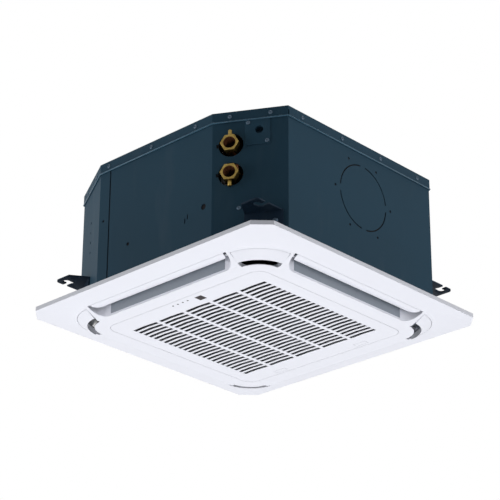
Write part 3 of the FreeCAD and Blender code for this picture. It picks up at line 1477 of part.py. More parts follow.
def grille_slot():
    """One slot of the first row and column, slightly bowed towards the front."""
    x = "(slot_length - slot_field_x) / 2"
    y = "(slot_width - slot_field_y) / 2"
    half_x = "slot_length / 2"
    half_y = "slot_width / 2"
    return [(f"{x} - {half_x}", f"{y} - {half_y}"), (x, f"{y} - {half_y} - slot_bow"),
            (f"{x} + {half_x}", f"{y} - {half_y}"), (f"{x} + {half_x}", f"{y} + {half_y}"),
            (x, f"{y} + {half_y} - slot_bow"), (f"{x} - {half_x}", f"{y} + {half_y}")]


def pad_window(fit):
    y = "(grille_half - pad_back)"
    windows = []
    for side in (1, -1):
        windows.append(rectangle(f"{side} * pad_place - pad_length / 2 - {fit}",
                                 f"{side} * pad_place + pad_length / 2 + {fit}",
                                 f"{y} - pad_width / 2 - {fit}", f"{y} + pad_width / 2 + {fit}"))
    return windows


def lamp_places():
    return [(f"lamp_x + ({index} - (lamp_count - 1) / 2) * lamp_pitch", "lamp_front - grille_half")
            for index in range(int(size.lamp_count))]


def intake_grille():
    """The slotted grille with its walls, closing stops and hinge pins."""
    body = new_body("IntakeGrille", PANEL)
    floor = "-dome_depth"
    plate = pad(body, polygons(body, [centred("grille_half", "grille_half")], floor), "grille_thick")
    round_uprights(body, plate, "grille_round")
    wall = "(grille_half - grille_wall_inset)"
    ring = [cut_square(wall, "grille_wall_corner"), cut_square(f"{wall} - grille_wall", "grille_wall_corner")]
    pad(body, polygons(body, ring, GRILLE_TOP), "grille_wall_height")
    stop_low = "(plateau_thick - dome_depth + cover_fit)"
    stops = []
    for side in (1, -1):
        stops.append(rectangle(f"{side} * grille_stop_place - grille_stop_half",
                               f"{side} * grille_stop_place + grille_stop_half",
                               "-grille_half - grille_stop_reach", f"-{wall} + grille_wall"))
    pad(body, polygons(body, stops, stop_low), "grille_stop_thick")
    pin_start = f"({wall} - grille_wall)"
    pin_end = "(grille_half + grille_pin_reach)"
    for level in (pin_start, f"-{pin_end}"):
        pin = circles(body, [(GRILLE_PIN_Y, GRILLE_PIN_Z)], "grille_pin_radius", level, "YZ_Plane")
        pad(body, pin, f"{pin_end} - {pin_start}")
    pocket(body, polygons(body, pad_window("pad_fit"), floor), "grille_thick")
    window_y = "(window_front - grille_half)"
    pane = "window_side / 2 + window_fit"
    window = rectangle(f"window_x - ({pane})", f"window_x + {pane}", f"{window_y} - ({pane})",
                       f"{window_y} + {pane}")
    pocket(body, polygons(body, [window], floor), "grille_thick")
    pocket(body, circles(body, lamp_places(), "lamp_radius + window_fit", floor), "grille_thick")
    field = centred("slot_field_x / 2 + slat_margin", "slot_field_y / 2 + slat_margin")
    pocket(body, polygons(body, [field], f"{floor} + slat_thick"), "grille_thick - slat_thick")
    sketch = polygons(body, [grille_slot()], floor)
    first = pocket(body, sketch, "grille_thick")
    rows = body.newObject("PartDesign::LinearPattern", "Slots")
    rows.Originals = [first]
    rows.Direction = (sketch, ["H_Axis"])
    rows.setExpression("Length", linked("slot_field_x - slot_length"))
    rows.setExpression("Occurrences", linked("slot_columns"))
    rows.Direction2 = (sketch, ["V_Axis"])
    rows.setExpression("Length2", linked("slot_field_y - slot_width"))
    rows.setExpression("Occurrences2", linked("slot_rows"))
    body.Tip = rows
    node("intake_grille", body)


def grille_fittings():
    """The push pads, receiver window, lamps and display board of the grille."""
    for side, loop in zip(("right", "left"), pad_window("0")):
        body = new_body("PushPad" + side.title(), PANEL)
        pad(body, polygons(body, [loop], "-dome_depth"), "pad_thick")
        node("push_pad_" + side, body)
    y = "(window_front - grille_half)"
    half = "window_side / 2"
    window = box((f"window_x - {half}", f"{y} - {half}", "-dome_depth"),
                 (f"window_x + {half}", f"{y} + {half}", GRILLE_TOP), PANEL)
    node("receiver_window", window)
    lamps = [cylinder((x, lamp_y, "-dome_depth"), "lamp_radius", "grille_thick", PANEL)
             for x, lamp_y in lamp_places()]
    node("lamp_lenses", fuse(lamps))
    low_y = "(display_front - grille_half)"
    board = box(("(window_x + lamp_x) / 2 - display_length / 2", low_y, GRILLE_TOP),
                ("(window_x + lamp_x) / 2 + display_length / 2", f"{low_y} + display_width",
                 f"{GRILLE_TOP} + display_thick"), PANEL)
    node("display_board", board)


def air_filter():
    """A ribbed frame with a thin net, lying on the back of the grille."""
    body = new_body("AirFilter", PANEL)
    low = f"({GRILLE_TOP} + filter_rest)"
    pad(body, polygons(body, [centred("filter_x", "filter_y")], low), "filter_thick")
    cell_x = "((2 * filter_x - filter_rib) / filter_columns)"
    cell_y = "((2 * filter_y - filter_rib) / filter_rows)"
    cells = []
    for column in range(int(size.filter_columns)):
        for row_index in range(int(size.filter_rows)):
            x = f"-filter_x + filter_rib + {column} * {cell_x}"
            y = f"-filter_y + filter_rib + {row_index} * {cell_y}"
            cells.append(rectangle(x, f"{x} + {cell_x} - filter_rib", y, f"{y} + {cell_y} - filter_rib"))
    pocket(body, polygons(body, cells, f"{low} + filter_net"), "filter_thick - filter_net")
    node("air_filter", body)


def build():
    top_cover()
    front_sheet()
    right_sheet()
    back_sheet()
    left_sheet()
    insulation()
    cover_screws()
    for side_x, across in ((1, "right"), (-1, "left")):
        for side_y, depth in ((1, "back"), (-1, "front")):
            hanger(f"hanger_{depth}_{across}", side_x, side_y)
    hanger_screws()
    pipe_corner()
    drain_outlet()
    case_screws()
    coil_fins()
    return_bends()
    drain_pan()
    bell_mouth()
    drain_pump()
    drain_hose()
    turbo_fan()
    fan_drive()
    control_box()
    panel_frame()
    for turns, corner in enumerate(CORNERS):
        corner_cover("corner_cover_" + corner, turns)
    for turns, side in enumerate(SIDES):
        louvre("louvre_" + side, turns)
        louvre_motor("louvre_motor_" + side, turns)
    air_guide()
    panel_seal()
    panel_screws()
    intake_grille()
    grille_fittings()
    air_filter()


def check():
    """Stop on any failed object or unsound shape."""
    DOC.recompute()
    for item in DOC.Objects:
        if "Invalid" in item.State or "Error" in item.State:
            raise RuntimeError(f"{item.Label} failed: {item.State}")
    for label, item in NODES.items():
        if item.Shape.isNull() or not item.Shape.isValid() or not item.Shape.Solids:
            raise RuntimeError(f"{label} has no sound shape")


def write():
    os.makedirs("parts", exist_ok=True)
    for label, item in NODES.items():
        item.Shape.exportStep(os.path.join("parts", label + ".step"))
        print(label, len(item.Shape.Solids), round(item.Shape.Volume))


build()
check()
write()
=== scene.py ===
"""Finishes, fine pieces and stage for a four-way ceiling cassette."""

import json
import math

import bmesh
import bpy
from bpy.props import FloatProperty, FloatVectorProperty, PointerProperty
from mathutils import Matrix, Vector
from mathutils.geometry import convex_hull_2d

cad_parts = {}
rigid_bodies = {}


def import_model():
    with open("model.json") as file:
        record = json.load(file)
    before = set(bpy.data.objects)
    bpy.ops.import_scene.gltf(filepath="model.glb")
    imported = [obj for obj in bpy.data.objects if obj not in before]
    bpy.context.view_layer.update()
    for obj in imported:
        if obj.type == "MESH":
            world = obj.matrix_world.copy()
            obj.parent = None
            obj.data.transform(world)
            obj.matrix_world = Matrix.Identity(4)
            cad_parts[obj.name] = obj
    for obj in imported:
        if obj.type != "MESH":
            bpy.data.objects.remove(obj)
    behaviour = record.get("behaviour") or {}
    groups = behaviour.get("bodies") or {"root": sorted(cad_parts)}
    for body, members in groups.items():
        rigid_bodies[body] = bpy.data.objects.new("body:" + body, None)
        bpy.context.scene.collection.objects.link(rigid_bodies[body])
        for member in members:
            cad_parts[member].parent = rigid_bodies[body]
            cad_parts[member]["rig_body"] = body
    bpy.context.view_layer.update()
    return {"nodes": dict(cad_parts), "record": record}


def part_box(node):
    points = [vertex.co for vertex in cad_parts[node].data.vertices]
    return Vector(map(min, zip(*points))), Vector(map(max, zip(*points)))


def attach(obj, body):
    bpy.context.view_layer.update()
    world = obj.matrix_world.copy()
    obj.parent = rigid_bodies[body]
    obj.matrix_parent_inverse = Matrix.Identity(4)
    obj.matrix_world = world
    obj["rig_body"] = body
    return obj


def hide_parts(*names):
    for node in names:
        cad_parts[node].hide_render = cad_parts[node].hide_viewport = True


bl_info = {
    "name": "Ceiling Cassette",
    "version": (1, 0, 0),
    "blender": (4, 5, 0),
    "location": "View3D > Sidebar > Cassette",
    "description": "Dresses a ceiling cassette with its finishes and fine pieces",
    "category": "Object",
}

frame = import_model()
NODES = frame["nodes"]
MM = 0.001

# Meshes: welding distance, the turns that count as flat and as an edge, and the steps round a circle
WELD = 1e-6
FLAT_TURN = math.radians(0.5)
EDGE_TURN = math.radians(38)
CIRCLE_STEPS = 40

# Edges that only shading rounds
PAINT_EDGE = 0.8 * MM
MOULD_EDGE = 0.9 * MM

# Screw heads, as shares of a head's radius or height
HEAD_SIDES = 24
CROWN_SHARE = 0.62
SKIRT_SHARE = 0.96
WAIST_SHARE = 0.55
CROSS_SHARE = 0.22

# A screw faces the way of its largest flat, where a flat that looks into the case counts less
INWARD_WEIGHT = 0.5

# The hem follows the points this close to the flange's lower edge
RIM_BAND = 0.1 * MM

# The drain plate and the hem are painted lighter than the case by these factors, as painted light, and the
# hem's gloss has a painted bluish sheen
PLATE_PAINTED_LIGHT_LIFT = 1.16
HEM_HIGHLIGHT_LIFT = 1.5
HEM_PAINTED_SHEEN = (0.55, 0.80, 1.0)

# The gasket's rounded edge as a share of its thickness, and the net's margin in threads; the gasket is a dark
# piece that paints shade at the foot of each bore
SHADE_GASKET_ROUND_SHARE = 0.25
NET_MARGIN = 4

# The photograph's view, in degrees, metres and pixels
VIEW_TURN, VIEW_RISE, VIEW_ROLL = 43.423, 24.794, 0.262
VIEW_PLACE = (2.4580, -2.6117, -1.5760)
VIEW_FOCAL = 1941.05
PICTURE_WIDTH = 500
SENSOR_WIDTH = 36.0
VIEW_REACH = 100.0

# Each lamp's name, place and side in metres, and power in watts
LAMPS = (
    ("under_lamp", (0.3, -0.4, -4.4), 3.0, 172.0),
    ("left_lamp", (-2.9, -3.3, -0.2), 2.4, 66.0),
    ("right_lamp", (3.8, 1.9, 0.2), 2.4, 71.0),
    ("top_lamp", (-0.9, 0.9, 4.2), 3.6, 120.0),
)
WHITE = (1.0, 1.0, 1.0, 1.0)
SOFT_SKY = (0.92, 0.96, 1.0, 1.0)
SOFT_LEVEL = 0.16
FLOOR_GLOW = 0.85


def length(name, description, default):
    return FloatProperty(name=name, description=description, default=default, unit="LENGTH", precision=5)


def colour(name, description, default):
    return FloatVectorProperty(name=name, description=description, default=default, subtype="COLOR", size=3,
                               min=0.0, max=1.0)


class CassetteSizes(bpy.types.PropertyGroup):
    """Sizes of the fine pieces."""

    edge: length("Edge", "Rounding of stamped and turned edges", 0.5 * MM)
    hem: length("Hem", "Radius of the rolled hem on the cover's flange", 1.7 * MM)
    recess_share: FloatProperty(name="Recess", default=0.55,
                                description="Half length of a screw's cross as a share of its head")
    thread_pitch: length("Thread pitch", "Rise of the pipe thread in one turn", 1.8 * MM)
    thread_depth: length("Thread depth", "Height of a pipe thread's ridge", 0.7 * MM)
    shade_gasket_thick: length("Gasket", "Thickness of the flat gasket in a water fitting", 2.5 * MM)
    shade_gasket_hole: length("Gasket hole", "Radius of the hole in a gasket", 3.5 * MM)
    net_pitch: length("Net pitch", "Distance between the threads of the filter net", 5.0 * MM)
    net_thread: length("Net thread", "Thickness of a filter thread", 0.5 * MM)
    floor_drop: length("Floor drop", "How far the floor lies below the hooks", 5.0)
    floor_half: length("Floor", "Half the side of the floor", 60.0)


class CassetteColours(bpy.types.PropertyGroup):
    """Colours of the finishes."""

    case: colour("Case", "Dark blue-grey paint of the case", (0.0215, 0.0585, 0.092))
    hanger: colour("Hanger", "Black-blue paint of the hangers", (0.010, 0.024, 0.044))
    panel: colour("Panel", "White moulding of the panel", (0.78, 0.79, 0.855))
    # Guide: a mid grey that paints the shade on the outlet walls
    guide: colour("Guide", "Grey lining of the outlets", (0.26, 0.29, 0.33))
    brass: colour("Brass", "Brass of the water fittings", (0.27, 0.19, 0.055))
    copper: colour("Copper", "Copper of the coil tubes", (0.60, 0.25, 0.13))
    steel: colour("Steel", "Zinc-plated steel", (0.40, 0.42, 0.44))
    screw: colour("Screw", "Blackened screws of the case", (0.065, 0.095, 0.130))
    # Filter: a near-black net, darkened as painted shade behind the grille's slots
    filter: colour("Filter", "Net and frame of the air filter", (0.027, 0.030, 0.036))
    # Thread: darker, redder brass that paints the shade inside the bores
    thread: colour("Thread", "Shaded brass inside the fittings", (0.12, 0.048, 0.024))
    # Gasket: painted shade; the dark red-brown gasket stands at the foot of each bore to darken it
    gasket: colour("Gasket", "Red-brown rubber of the gaskets", (0.022, 0.008, 0.006))
    foam: colour("Foam", "Black foam of the lining and seal", (0.012, 0.012, 0.014))
    fins: colour("Fins", "Aluminium of the coil", (0.55, 0.57, 0.58))
    board: colour("Board", "Lacquer of the circuit boards", (0.012, 0.075, 0.03))
    track: colour("Track", "Tracks under the lacquer", (0.03, 0.14, 0.06))
    window: colour("Window", "Smoked window of the receiver", (0.016, 0.012, 0.014))
    swirl: colour("Swirl", "Moulding swirls in the window", (0.035, 0.026, 0.03))
    lens: colour("Lens", "Smoked lenses of the lamps", (0.018, 0.018, 0.020))
    inner: colour("Inner plastic", "Black plastic of the fan and bell mouth", (0.018, 0.018, 0.02))
    pan: colour("Pan", "White plastic of the drain pan and louvre motors", (0.70, 0.70, 0.69))
    hose: colour("Hose", "Grey rubber of the drain hose", (0.10, 0.10, 0.105))
    motor: colour("Motor", "Paint of the fan motor", (0.08, 0.085, 0.09))
    floor: colour("Floor", "Floor of the studio", (0.86, 0.86, 0.86))


class Graph:
    """A node tree with one way of adding nodes."""

    def __init__(self, tree):
        self.tree = tree

    def node(self, kind, settings=None, inputs=None):
        """Add a node: its settings first, then the values or links of its sockets."""
        made = self.tree.nodes.new(kind)
        for key, setting in (settings or {}).items():
            if key == "stops":
                self.set_stops(made.color_ramp, setting)
            else:
                setattr(made, key, setting)
        for key, given in (inputs or {}).items():
            if isinstance(given, Signal):
                given = given.socket
            if isinstance(given, bpy.types.NodeSocket):
                self.tree.links.new(given, made.inputs[key])
            else:
                made.inputs[key].default_value = given
        return made

    @staticmethod
    def set_stops(ramp, stops):
        while len(ramp.elements) < len(stops):
            ramp.elements.new(1.0)
        for element, (place, shade) in zip(ramp.elements, stops):
            element.position = place
            element.color = (shade, shade, shade, 1.0)


class Signal:
    """A value socket that can stand in a sum."""

    def __init__(self, graph, socket):
        self.graph = graph
        self.socket = socket

    def math(self, operation, first, second):
        made = self.graph.node("ShaderNodeMath", {"operation": operation}, {0: first, 1: second})
        return Signal(self.graph, made.outputs[0])

    def __add__(self, other):
        return self.math("ADD", self, other)

    def __radd__(self, other):
        return self.math("ADD", other, self)

    def __sub__(self, other):
        return self.math("SUBTRACT", self, other)

    def __mul__(self, other):
        return self.math("MULTIPLY", self, other)

    def __rmul__(self, other):
        return self.math("MULTIPLY", other, self)


class Finish(Graph):
    """One material built round a principled shader."""

    def __init__(self, name):
        self.material = bpy.data.materials.new(name)
        self.material.use_nodes = True
        super().__init__(self.material.node_tree)
        self.tree.nodes.clear()
        self.shader = self.node("ShaderNodeBsdfPrincipled")
        self.output = self.node("ShaderNodeOutputMaterial", inputs={"Surface": self.shader.outputs[0]})
        self.place = self.node("ShaderNodeTexCoord").outputs["Object"]

    def noise(self, scale, detail=2.0, stretch=None):
        """Noise over the piece, drawn out along an axis where a stretch is given."""
        where = self.place
        if stretch is not None:
            where = self.node("ShaderNodeMapping", inputs={"Vector": where, "Scale": stretch}).outputs[0]
        made = self.node("ShaderNodeTexNoise", inputs={"Vector": where, "Scale": scale, "Detail": detail})
        return Signal(self, made.outputs["Fac"])

    def ramp(self, signal, stops):
        made = self.node("ShaderNodeValToRGB", {"stops": stops}, {"Fac": signal})
        return Signal(self, made.outputs[0])

    def wave(self, scale, direction, distortion=0.0):
        settings = {"wave_type": "BANDS", "bands_direction": direction}
        made = self.node("ShaderNodeTexWave", settings,
                         {"Vector": self.place, "Scale": scale, "Distortion": distortion})
        return Signal(self, made.outputs["Fac"])

    def mix(self, share, first, second):
        """A colour between two, by a share that varies over the surface."""
        made = self.node("ShaderNodeMix", {"data_type": "RGBA"}, {0: share, 6: first, 7: second})
        return made.outputs[2]

    def rounded(self, radius):
        """The surface normal with sharp edges rounded."""
        return self.node("ShaderNodeBevel", {"samples": 4}, {"Radius": radius}).outputs[0]

    def bump(self, height, strength, distance, normal=None):
        inputs = {"Height": height, "Strength": strength, "Distance": distance}
        if normal is not None:
            inputs["Normal"] = normal
        return self.node("ShaderNodeBump", inputs=inputs).outputs[0]

    def surface(self, **values):
        """Set or link the shader's sockets by name, with underscores for spaces."""
        for key, given in values.items():
            socket = self.shader.inputs[key.replace("_", " ")]
            if isinstance(given, Signal):
                given = given.socket
            if isinstance(given, bpy.types.NodeSocket):
                self.tree.links.new(given, socket)
            else:
                socket.default_value = given
        return self.material


def seen_directly(graph):
    """One for rays from the camera or off gloss and glass: a backdrop that looks pale lights nothing."""
    path = graph.node("ShaderNodeLightPath")
    seen = Signal(graph, path.outputs["Is Camera Ray"]) + Signal(graph, path.outputs["Is Glossy Ray"])
    return seen + Signal(graph, path.outputs["Is Transmission Ray"])


def rgba(shade, level=1.0):
    return tuple(min(1.0, part * level) for part in shade) + (1.0,)


def case_paint(name, shade, gloss=0.08, sheen=(1.0, 1.0, 1.0)):
    """Powder coat on sheet steel: fine orange peel, slow drift of tone and faint handling marks."""
    worn = (0.10, 0.13, 0.15)
    finish = Finish(name)
    drift = finish.noise(scale=4.0, detail=3.0)
    peel = finish.noise(scale=900.0, detail=1.0)
    marks = finish.noise(scale=14.0, detail=6.0, stretch=(1.0, 1.0, 0.25))
    rub = finish.ramp(marks, [(0.56, 0.0), (0.78, 1.0)])
    tone = finish.mix(drift, rgba(shade, 0.82), rgba(shade, 1.18))
    tone = finish.mix(rub * 0.16, tone, rgba(worn))
    normal = finish.bump(peel, strength=0.12, distance=0.0004, normal=finish.rounded(PAINT_EDGE))
    return finish.surface(Base_Color=tone, Roughness=0.56 - 0.5 * gloss + 0.14 * drift - 0.08 * rub,
                          Specular_IOR_Level=gloss, Specular_Tint=rgba(sheen), Normal=normal)


def moulding(name, shade, roughness=0.42):
    """Injection moulding with a fine spark-eroded grain and slight unevenness of tone."""
    finish = Finish(name)
    drift = finish.noise(scale=3.0, detail=2.0)
    grain = finish.noise(scale=1600.0, detail=1.0)
    waves = finish.noise(scale=9.0, detail=1.0)
    tone = finish.mix(drift, rgba(shade, 0.97), rgba(shade))
    normal = finish.bump(grain + 3.0 * waves, strength=0.05, distance=0.0003,
                         normal=finish.rounded(MOULD_EDGE))
    return finish.surface(Base_Color=tone, Roughness=roughness + 0.10 * drift, Specular_IOR_Level=0.30,
                          Normal=normal)


def metal(name, shade, roughness, stain=0.25, spots=45.0):
    """Bare metal with drawn marks and a patchy tarnish."""
    finish = Finish(name)
    lines = finish.noise(scale=260.0, detail=2.0, stretch=(1.0, 1.0, 12.0))
    patch = finish.ramp(finish.noise(scale=spots, detail=4.0), [(0.35, 0.0), (0.75, 1.0)])
    tone = finish.mix(patch * stain, rgba(shade), rgba(shade, 0.42))
    normal = finish.bump(lines, strength=0.10, distance=0.0002)
    return finish.surface(Base_Color=tone, Metallic=1.0, Roughness=roughness + 0.12 * patch + 0.08 * lines,
                          Normal=normal)


def finned(shade):
    """Aluminium fins edge on: fine upright lines round the coil, darker between fins as painted shade in the
    gaps.
    """
    finish = Finish("fin_aluminium")
    lines = finish.wave(scale=260.0, direction="X") * finish.wave(scale=260.0, direction="Y")
    dust = finish.ramp(finish.noise(scale=30.0, detail=4.0), [(0.4, 0.0), (0.8, 1.0)])
    # The darker share of the lines is painted shade in the gaps between fins
    tone = finish.mix(lines, rgba(shade, 0.35), rgba(shade))
    return finish.surface(Base_Color=tone, Metallic=1.0, Roughness=0.34 + 0.2 * dust,
                          Normal=finish.bump(lines, strength=0.6, distance=0.0008))


def foam(name, shade):
    """Closed-cell foam and rubber."""
    finish = Finish(name)
    cells = finish.noise(scale=420.0, detail=3.0)
    tone = finish.mix(cells, rgba(shade, 0.7), rgba(shade, 1.3))
    return finish.surface(Base_Color=tone, Roughness=0.85 + 0.1 * cells, Specular_IOR_Level=0.15,
                          Normal=finish.bump(cells, strength=0.5, distance=0.0006))


def circuit(lacquer, track):
    """Lacquered board with paler tracks."""
    finish = Finish("board_green")
    tracks = finish.ramp(finish.wave(scale=90.0, direction="X", distortion=6.0), [(0.45, 0.0), (0.55, 1.0)])
    tone = finish.mix(tracks, rgba(lacquer), rgba(track))
    return finish.surface(Base_Color=tone, Roughness=0.30 + 0.15 * tracks,
                          Normal=finish.bump(tracks, strength=0.2, distance=0.0001))


def dark_window(shade, pale):
    """Smoked window over the receiver, with moulding swirls."""
    finish = Finish("window_dark")
    swirl = finish.noise(scale=60.0, detail=2.0)
    tone = finish.mix(swirl, rgba(shade), rgba(pale))
    return finish.surface(Base_Color=tone, Roughness=0.30 + 0.08 * swirl, Specular_IOR_Level=0.12)


def woven_net_painted_shade(shade):
    """Knitted filter net, darker between its threads as painted shade."""
    finish = Finish("filter_net")
    weave = finish.wave(scale=330.0, direction="X") * finish.wave(scale=330.0, direction="Y")
    tone = finish.mix(weave, rgba(shade, 0.5), rgba(shade, 1.5))
    return finish.surface(Base_Color=tone, Roughness=0.75 + 0.15 * weave,
                          Normal=finish.bump(weave, strength=0.6, distance=0.0005))


def dress(material, *names):
    """Give CAD nodes a finish."""
    for name in names:
        slots = NODES[name].data.materials
        slots.clear()
        slots.append(material)


def body_of(name):
    return NODES[name]["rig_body"]


def new_object(name, mesh):
    made = bpy.data.objects.new(name, mesh)
    bpy.context.scene.collection.objects.link(made)
    return made


def applied(piece):
    """Turn a piece's modifiers into a plain mesh."""
    bpy.context.view_layer.update()
    result = piece.evaluated_get(bpy.context.evaluated_depsgraph_get())
    mesh = bpy.data.meshes.new_from_object(result)
    piece.modifiers.clear()
    piece.data = mesh
    return piece


def welded(name):
    """A CAD node's shape as one joined mesh with whole flat faces."""
    shape = bmesh.new()
    shape.from_mesh(NODES[name].data)
    bmesh.ops.remove_doubles(shape, verts=shape.verts, dist=WELD)
    bmesh.ops.dissolve_limit(shape, angle_limit=FLAT_TURN, verts=shape.verts, edges=shape.edges)
    return shape


def soften(name, width, material):
    """Stand a copy with rounded edges in for a CAD node."""
    shape = welded(name)
    mesh = bpy.data.meshes.new(name + "_soft")
    shape.to_mesh(mesh)
    shape.free()
    piece = new_object(name + "_soft", mesh)
    bevel = piece.modifiers.new("Edges", "BEVEL")
    bevel.width = width
    bevel.segments = 2
    bevel.limit_method = "ANGLE"
    bevel.angle_limit = EDGE_TURN
    bevel.use_clamp_overlap = True
    bevel.harden_normals = False
    applied(piece)
    piece.data.shade_smooth()
    piece.data.set_sharp_from_angle(angle=EDGE_TURN)
    piece.data.materials.clear()
    piece.data.materials.append(material)
    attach(piece, body_of(name))
    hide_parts(name)


def lathe(name, profile):
    """A mesh turned from a closed outline of radius and height pairs."""
    points, faces = [], []
    for step in range(CIRCLE_STEPS):
        turn = math.tau * step / CIRCLE_STEPS
        points += [(radius * math.cos(turn), radius * math.sin(turn), height) for radius, height in profile]
    count = len(profile)
    for step in range(CIRCLE_STEPS):
        here, ahead = step * count, (step + 1) % CIRCLE_STEPS * count
        for index in range(count):
            following = (index + 1) % count
            faces.append((here + index, ahead + index, ahead + following, here + following))
    mesh = bpy.data.meshes.new(name)
    mesh.from_pydata(points, [], faces)
    mesh.shade_smooth()
    mesh.set_sharp_from_angle(angle=EDGE_TURN)
    return mesh


def islands(name):
    """The separate solids of a CAD node, each as its foot, its facing, its radius and its height."""
    shape = bmesh.new()
    shape.from_mesh(NODES[name].data)
    bmesh.ops.remove_doubles(shape, verts=shape.verts, dist=WELD)
    seen = set()
    found = []
    for first in shape.verts:
        if first in seen:
            continue
        seen.add(first)
        group = [first]
        for vertex in group:
            for edge in vertex.link_edges:
                other = edge.other_vert(vertex)
                if other not in seen:
                    seen.add(other)
                    group.append(other)
        centre = sum((vertex.co for vertex in group), Vector()) / len(group)
        flats = {}
        for vertex in group:
            for face in vertex.link_faces:
                key = tuple(round(part, 2) for part in face.normal)
                flats.setdefault(key, {})[face.index] = face
        sums = {key: sum(face.calc_area() for face in faces.values()) for key, faces in flats.items()}
        out = Vector((centre.x, centre.y, 0))
        key = max(sums, key=lambda way: sums[way] * (1.0 if Vector(way).dot(out) > 0 else INWARD_WEIGHT))
        member = next(iter(flats[key].values()))
        facing = member.normal.copy()
        spokes = [vertex.co - centre for vertex in group]
        depth = [spoke.dot(facing) for spoke in spokes]
        reach = max((spoke - facing * spoke.dot(facing)).length for spoke in spokes)
        found.append((centre + facing * min(depth), facing, reach, max(depth) - min(depth)))
    shape.free()
    return found


class Growth(Graph):
    """A geometry tree with named inputs."""

    def __init__(self, name, inputs):
        tree = bpy.data.node_groups.new(name, "GeometryNodeTree")
        super().__init__(tree)
        face = tree.interface
        face.new_socket("Geometry", in_out="INPUT", socket_type="NodeSocketGeometry")
        face.new_socket("Geometry", in_out="OUTPUT", socket_type="NodeSocketGeometry")
        self.keys = {}
        for label, kind in inputs.items():
            self.keys[label] = face.new_socket(label, in_out="INPUT", socket_type=kind).identifier
        self.source = self.node("NodeGroupInput")

    def given(self, label):
        return self.source.outputs[label]

    def close(self, geometry, material):
        """End the tree with whole geometry of one material."""
        whole = self.node("GeometryNodeRealizeInstances", inputs={"Geometry": geometry})
        coated = self.node("GeometryNodeSetMaterial",
                           inputs={"Geometry": whole.outputs[0], "Material": material})
        self.node("NodeGroupOutput", inputs={0: coated.outputs[0]})

    def grow(self, piece, **values):
        """Run the tree on a piece and keep the plain result."""
        modifier = piece.modifiers.new("Growth", "NODES")
        modifier.node_group = self.tree
        for label, given in values.items():
            modifier[self.keys[label.replace("_", " ")]] = given
        return applied(piece)

    def product(self, operation, first, second):
        return self.node("ShaderNodeMath", {"operation": operation}, {0: first, 1: second}).outputs[0]

    def vector(self, x=0.0, y=0.0, z=0.0):
        return self.node("ShaderNodeCombineXYZ", inputs={0: x, 1: y, 2: z}).outputs[0]


def screw_tree(material):
    """Domed heads with a cross recess, one on each point and facing as it says."""
    tree = Growth("ScrewHeads", {"Radius": "NodeSocketFloat", "Height": "NodeSocketFloat",
                                 "Recess": "NodeSocketFloat"})
    radius, height = tree.given("Radius"), tree.given("Height")
    crown = tree.product("MULTIPLY", radius, CROWN_SHARE)
    shoulder = tree.product("MULTIPLY", radius, SKIRT_SHARE)
    waist = tree.product("MULTIPLY", height, WAIST_SHARE)
    dome = tree.product("MULTIPLY", height, 1.0 - WAIST_SHARE)
    skirt = tree.node("GeometryNodeMeshCone", {"fill_type": "NGON"},
                      {"Vertices": HEAD_SIDES, "Radius Top": shoulder, "Radius Bottom": radius,
                       "Depth": waist})
    cap = tree.node("GeometryNodeMeshCone", {"fill_type": "NGON"},
                    {"Vertices": HEAD_SIDES, "Radius Top": crown, "Radius Bottom": shoulder, "Depth": dome})
    lifted = tree.node("GeometryNodeTransform", inputs={"Geometry": cap.outputs[0],
                                                        "Translation": tree.vector(z=waist)})
    head = tree.node("GeometryNodeJoinGeometry")
    tree.tree.links.new(skirt.outputs[0], head.inputs[0])
    tree.tree.links.new(lifted.outputs[0], head.inputs[0])
    arm = tree.product("MULTIPLY", tree.product("MULTIPLY", radius, tree.given("Recess")), 2.0)
    slim = tree.product("MULTIPLY", radius, CROSS_SHARE)
    solid = tree.node("GeometryNodeConvexHull", inputs={"Geometry": head.outputs[0]})
    cut = tree.node("GeometryNodeMeshBoolean", {"operation": "DIFFERENCE", "solver": "EXACT"},
                    {"Mesh 1": solid.outputs[0]})
    for span_x, span_y in ((arm, slim), (slim, arm)):
        bar = tree.node("GeometryNodeMeshCube", inputs={"Size": tree.vector(span_x, span_y, height)})
        moved = tree.node("GeometryNodeTransform", inputs={"Geometry": bar.outputs[0],
                                                           "Translation": tree.vector(z=height)})
        tree.tree.links.new(moved.outputs[0], cut.inputs["Mesh 2"])
    facing = tree.node("GeometryNodeInputNamedAttribute", {"data_type": "FLOAT_VECTOR"}, {"Name": "facing"})
    turn = tree.node("FunctionNodeAlignRotationToVector", {"axis": "Z"}, {"Vector": facing.outputs[0]})
    spread = tree.node("GeometryNodeInstanceOnPoints",
                       inputs={"Points": tree.given("Geometry"), "Instance": cut.outputs[0],
                               "Rotation": turn.outputs[0]})
    tree.close(spread.outputs[0], material)
    return tree


def add_screws(name, tree, recess):
    """Stand detailed heads in for a group of plain ones."""
    spots = islands(name)
    mesh = bpy.data.meshes.new(name + "_heads")
    mesh.from_pydata([place for place, _, _, _ in spots], [], [])
    store = mesh.attributes.new("facing", "FLOAT_VECTOR", "POINT")
    for item, (_, facing, _, _) in zip(store.data, spots):
        item.vector = facing
    piece = new_object(name + "_heads", mesh)
    radius = sorted(reach for _, _, reach, _ in spots)[len(spots) // 2]
    height = max(depth for _, _, _, depth in spots)
    tree.grow(piece, Radius=radius, Height=height, Recess=recess)
    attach(piece, body_of(name))
    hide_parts(name)


def thread_tree(material):
    """A ridge wound round the inside of a bore."""
    tree = Growth("PipeThread", {"Radius": "NodeSocketFloat", "Height": "NodeSocketFloat",
                                 "Turns": "NodeSocketFloat", "Ridge": "NodeSocketFloat"})
    coil = tree.node("GeometryNodeCurveSpiral",
                     inputs={"Resolution": CIRCLE_STEPS, "Rotations": tree.given("Turns"),
                             "Start Radius": tree.given("Radius"), "End Radius": tree.given("Radius"),
                             "Height": tree.given("Height")})
    ring = tree.node("GeometryNodeCurvePrimitiveCircle", {"mode": "RADIUS"},
                     {"Resolution": 4, "Radius": tree.given("Ridge")})
    ridge = tree.node("GeometryNodeCurveToMesh", inputs={"Curve": coil.outputs[0],
                                                         "Profile Curve": ring.outputs[0], "Fill Caps": True})
    tree.close(ridge.outputs[0], material)
    return tree


